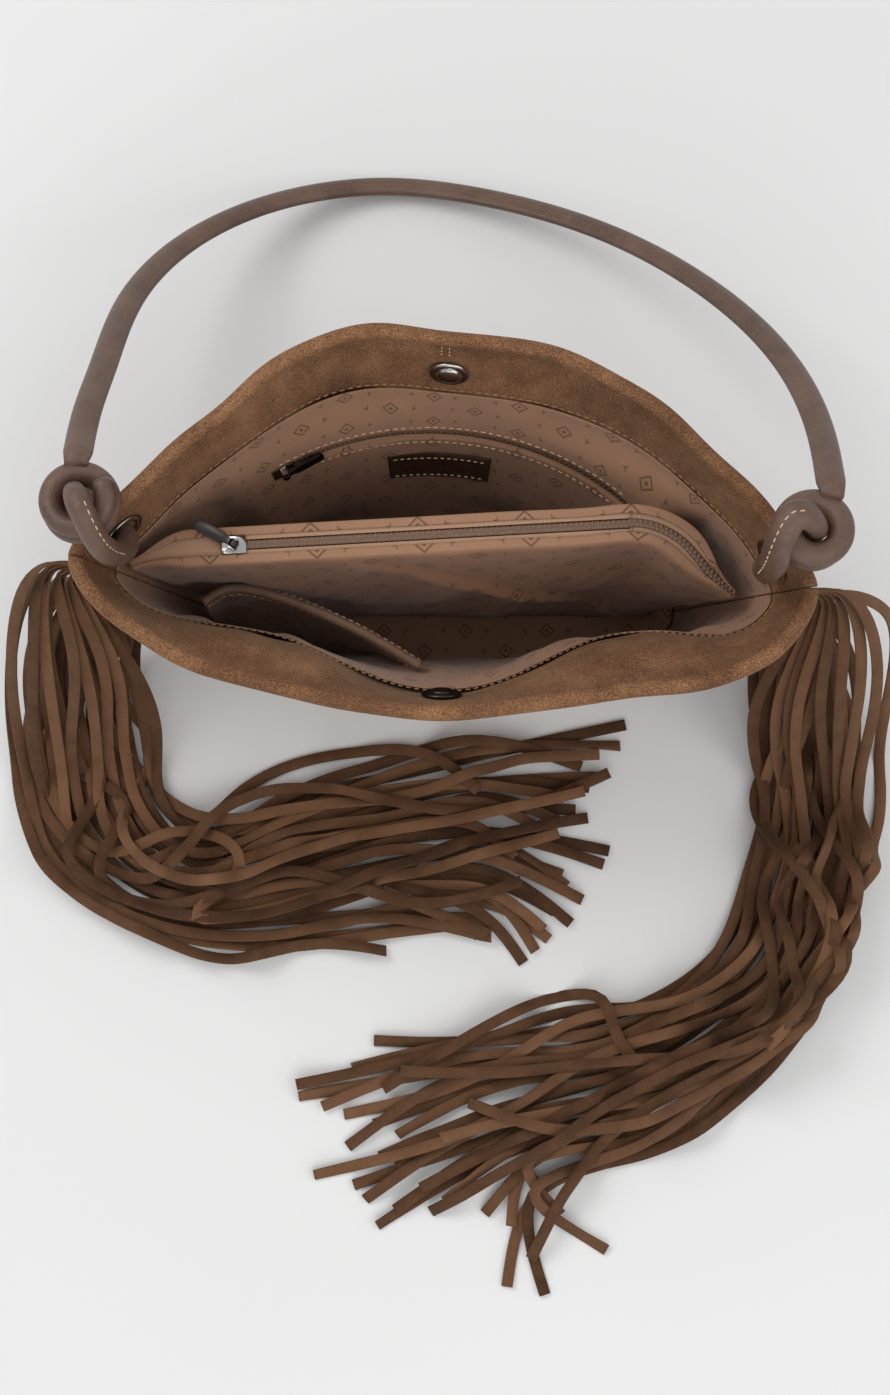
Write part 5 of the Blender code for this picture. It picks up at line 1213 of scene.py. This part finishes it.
def strip_shape(points, height, outward, table, number, stray):
    """One strip: falls from the header, turns from upright to flat, and lies on what is under it."""
    start = np.array(points[0])
    plan = curve_through(np.array([start, start + np.array([outward * 0.010, 0.0])] + list(points[1:])), 420)
    dist = np.concatenate([[0.0], np.cumsum(np.linalg.norm(np.diff(plan, axis=0), axis=1))])
    run = unit(np.gradient(plan, axis=0))
    across = np.stack([-run[:, 1], run[:, 0]], axis=1) * outward
    curl = 0.62 * soft_noise(dist, dist * 0.0, 0.075, 100 + number) * smooth_step((dist - 0.05) / 0.05)
    roll = (math.pi / 2) * (1.0 - smooth_step(dist / 0.032)) + curl
    landing = 0.050 + 0.42 * height
    fall = height * (1.0 - smooth_step(dist / landing))
    steep = np.sqrt(1.0 + np.gradient(fall, dist) ** 2)
    tall = np.abs(np.sin(roll)) * STRIP_WIDTH / 2 + np.abs(np.cos(roll)) * STRIP_THICKNESS / 2 * steep
    wide = np.abs(np.cos(roll)) * STRIP_WIDTH / 2 + np.abs(np.sin(roll)) * STRIP_THICKNESS / 2
    side = np.linspace(-1.0, 1.0, 7)
    foot = plan[:, None, :] + across[:, None, :] * (side[None, :, None] * wide[:, None, None])
    need = np.maximum(table.under(foot), 0.0002) + 0.0001 + tall * (0.45 + 0.55 * np.abs(np.cos(roll)))
    if stray:
        need = np.minimum(need, STRAY_TOP) * smooth_step((dist - STRAY_START) / STRAY_EASE)
    need[dist < FREE_FALL] = 0.0
    places = np.concatenate([[0.0], 0.010 + (dist[-1] - 0.010) * np.linspace(0.0, 1.0, STRIP_JOINTS) ** 1.2])
    z = drape(dist, need, places, np.interp(places, dist, fall))
    z[0] = height
    knots = places / places[-1]
    share_along = np.linspace(0.0, 1.0, STRIP_STATIONS) ** 1.1
    height_along = cubic(knots, z[:, None], share_along, closed=False)[:, 0]
    settled = STRIP_THICKNESS / 2 + 0.35 * (tall - STRIP_THICKNESS / 2)
    table.lay(foot, (np.interp(dist, share_along * dist[-1], height_along) + settled)[:, None]
              * np.ones((1, len(side))))
    far = share_along * dist[-1]
    path = np.stack([np.interp(far, dist, plan[:, 0]), np.interp(far, dist, plan[:, 1]), height_along],
                    axis=1)
    tangent = unit(np.gradient(path, axis=0))
    left = unit(np.stack([-tangent[:, 1], tangent[:, 0], np.zeros(len(path))], axis=1))
    over = np.cross(tangent, left)
    signed = np.interp(far, dist, (math.pi / 2) * (1.0 - smooth_step(dist / 0.032)) + curl)
    across3 = -left * outward * np.cos(signed)[:, None] + over * np.sin(signed)[:, None]
    return path, tangent, across3


def build_fringe(name, node, tip, outward, gates, ends, loose):
    """The header sewn in the side seam and its strips, piled on the table as they fell."""
    count = STRIP_LAYERS * STRIP_LANES
    centre = HEADER_FOOT + STRIP_PITCH * (np.arange(count) + 0.5)
    table = Pile((-0.27, -0.39), (0.27, 0.06))
    rim_z = RIM_LOOP[0 if tip == 0 else RIGHT_TIP][2]
    section = np.array([(-1.0, -0.6), (-0.9, -1.0), (0.0, -0.75), (0.9, -1.0), (1.0, -0.6), (1.0, 0.6),
                        (0.9, 1.0), (0.0, 1.25), (-0.9, 1.0), (-1.0, 0.6)])
    half = np.array([STRIP_WIDTH / 2, STRIP_THICKNESS / 2])
    verts, faces, shade = [], [], []
    chance = np.random.default_rng(5 + tip)
    for j in range(count + len(loose)):
        stray = j >= count
        layer, lane = divmod(j % count, STRIP_LANES)
        height = centre[count - 3 - 2 * (j - count)] if stray else centre[j]
        root = wall_point(np.array([float(tip)]), np.array([height / rim_z]))[0]
        start = np.array([root[0] + outward * HEADER_REACH, root[1]])
        lane_width = 2.0 / STRIP_LANES
        gate = np.arange(len(gates))
        wander = np.sin(2.1 * layer + 0.15 * lane + 1.3 * gate) * 0.35 * layer * lane_width
        wander = wander + chance.uniform(-0.5, 0.5, len(gates)) * (0.25 + 0.55 * layer) * lane_width
        share = np.clip(-1.0 + lane_width * (lane + 0.5) + wander, -1.05, 1.05) * outward
        end = np.array(ends[lane * STRIP_LAYERS + layer])
        points = [start]
        points += list(np.array(loose[j - count])) if stray else list(gate_points(gates, share)) + [end]
        path, tangent, across = strip_shape(points, height, outward, table, j + 40 * tip, stray)
        tuck = np.array([root[0] - outward * HEADER_TUCK, root[1], height])
        path = np.concatenate([[tuck], path])
        tangent = np.concatenate([tangent[:1], tangent])
        across = np.concatenate([across[:1], across])
        thick = np.cross(across, tangent)
        ring = (path[:, None, :] + across[:, None, :] * (section[:, 0] * half[0])[None, :, None]
                + thick[:, None, :] * (section[:, 1] * half[1])[None, :, None])
        first = sum(len(v) for v in verts)
        verts.append(ring.reshape(-1, 3))
        faces += grid_faces(len(path), 10, wrap_cols=True, first=first).tolist()
        faces.append([first + k for k in range(10)])
        faces.append([first + (len(path) - 1) * 10 + k for k in range(10)])
        shade.append(np.full(len(path) * 10, chance.uniform(0.0, 1.0)))
    return make_piece(name, np.concatenate(verts), faces, FRINGE_FINISH, "bag", slot="fringe_suede",
                      replaces=(node,), shade=np.concatenate(shade))


# Base, pocket bag and zip tapes

def oval_sheet(name, half_length, half_width, low, high, finish, slot, node):
    """A flat sheet with the base's squarish outline: at each x, rows run between its two edges."""
    x = half_length * np.sin(np.linspace(-1.0, 1.0, 90) * math.pi / 2) * 0.9995
    reach = half_width * (1.0 - np.abs(x / half_length) ** BASE_SQUARENESS) ** (1.0 / BASE_SQUARENESS)
    y = np.linspace(-1.0, 1.0, 24)[:, None] * reach[None, :]
    grid_x = np.broadcast_to(x, y.shape)
    ripple = 0.0003 * soft_noise(grid_x, y, 0.05, 61)
    levels = [np.stack([grid_x, y, np.full(y.shape, z) + lift], axis=2)
              for z, lift in ((low, 0.0 * ripple), (high, ripple if low > 0.0 else 0.0 * ripple))]
    return sheet_piece(name, levels[0], levels[1], metres_uv(levels[0]), finish, "bag", slot=slot,
                       replaces=(node,))


def build_base_and_tapes():
    """The suede base, the lining over it, the hidden pocket bag and the four zip tapes."""
    made = {"base": oval_sheet("suede_base", BASE_HALF_LENGTH + 0.0012, BASE_HALF_WIDTH + 0.0012, 0.0, 0.003,
                               SUEDE_FINISH, "suede", "base_panel"),
            "floor": oval_sheet("lining_floor_cloth", 0.1172, 0.0272, 0.0038, 0.0044, FLOOR_LINING_FINISH,
                                "lining", "lining_base")}
    phi, v = np.meshgrid(np.linspace(0.26, 0.74, 90), np.linspace(1 / 6, 0.553, 30))
    back = wall(phi, v, np.full(phi.shape, 0.0044))
    front = wall(phi, v, np.full(phi.shape, 0.0052))
    made["bag"] = sheet_piece("pocket_bag_cloth", back, front, metres_uv(back), LINING_FINISH, "bag",
                              slot="lining", replaces=("back_pocket_bag",))
    offset, section = 0.0049, oval(0.0025, 0.00025, 12, 4.0)
    angle = np.linspace(BACK_ZIP_START, BACK_ZIP_END, 120)
    radial = np.stack([np.cos(angle), np.sin(angle), np.zeros(120)], axis=1)
    arc = radial * BACK_ZIP_RADIUS + np.array([*BACK_ZIP_CENTRE, BACK_ZIP_HEIGHT])
    arc_up = unit(radial * BACK_ZIP_LEAN + np.array([0.0, 0.0, 1.0]))
    straight = unit(np.array(DIVIDER_TOP[7]) - np.array(DIVIDER_TOP[2]))
    shift = np.linspace(-DIVIDER_ZIP_HALF, DIVIDER_ZIP_HALF, 60)[:, None]
    line = np.array(DIVIDER_TOP[4]) + straight * shift
    line_up = np.zeros(line.shape) + np.cross([0.0, 0.0, 1.0], straight)
    for zip_name, path, up in (("back_zip_tape_", arc, arc_up), ("divider_zip_tape_", line, line_up)):
        for word, sign in (("upper", 1.0), ("lower", -1.0)):
            tube_piece(zip_name + word + "_cloth", path + up * sign * offset, section, up, TAPE_FINISH, "bag",
                       slot="zip_tape", replaces=(zip_name + word,))
    return made


# Camera, light and floor

def build_stage():
    camera = bpy.data.objects.new("camera", bpy.data.cameras.new("camera"))
    camera.data.sensor_width = 36.0
    camera.data.lens = 36.0 * 2400.0 / 1395.0
    camera.location = (0.0, -0.20, 1.23)
    camera.rotation_euler = (math.radians(7.2), 0.0, 0.0)
    bpy.context.scene.collection.objects.link(camera)
    bpy.context.scene.camera = camera
    for name, place, aim, size, power in (
            ("key", (-0.75, 0.55, 1.35), (0.0, 0.0, 0.05), 0.9, 9.5),
            ("fill", (0.95, -0.55, 1.10), (0.0, -0.05, 0.05), 1.1, 4.0),
            ("front", (0.0, -1.25, 0.95), (0.0, -0.05, 0.08), 1.0, 4.0)):
        lamp = bpy.data.objects.new(name, bpy.data.lights.new(name, "AREA"))
        lamp.data.shape = "DISK"
        lamp.data.size = size
        lamp.data.energy = power
        lamp.location = place
        lamp.rotation_euler = (Vector(place) - Vector(aim)).to_track_quat("Z", "Y").to_euler()
        bpy.context.scene.collection.objects.link(lamp)
    world = bpy.data.worlds.new("studio")
    world.use_nodes = True
    world.node_tree.nodes["Background"].inputs["Color"].default_value = (1.0, 1.0, 1.0, 1.0)
    world.node_tree.nodes["Background"].inputs["Strength"].default_value = 0.74
    bpy.context.scene.world = world
    mesh = bpy.data.meshes.new("table_top")
    size = 6.0
    mesh.from_pydata([(-size, -size, 0.0), (size, -size, 0.0), (size, size, 0.0), (-size, size, 0.0)], [],
                     [(0, 1, 2, 3)])
    floor = bpy.data.objects.new("table_top", mesh)
    made = Finish("table_top", {"Specular IOR Level": 0.2})
    tint = made.noise(made.place(), 3.0)
    paper = made.blend(tint, rgb(0.700, 0.700, 0.700), rgb(0.720, 0.720, 0.720))
    mesh.materials.append(made.done(paper, 0.8))
    floor.location = (0.0, 0.0, -0.0002)
    bpy.context.scene.collection.objects.link(floor)
    bpy.context.scene.view_settings.view_transform = "Standard"


build_stage()
shell_pieces = build_shell()
build_rim_stitches()
lining_pieces = build_linings()
divider_pieces = build_divider()
slip_pocket_piece = build_slip_pocket()
build_zips()
label_piece = build_label()
build_metal()
build_handle()
build_knots()
flat_pieces = build_base_and_tapes()
fringe_pieces = [
    build_fringe("fringe_strips_left", "fringe_left", 0, -1.0, LEFT_GATES, LEFT_ENDS, LEFT_LOOSE),
    build_fringe("fringe_strips_right", "fringe_right", 1, 1.0, RIGHT_GATES, RIGHT_ENDS, RIGHT_LOOSE),
]
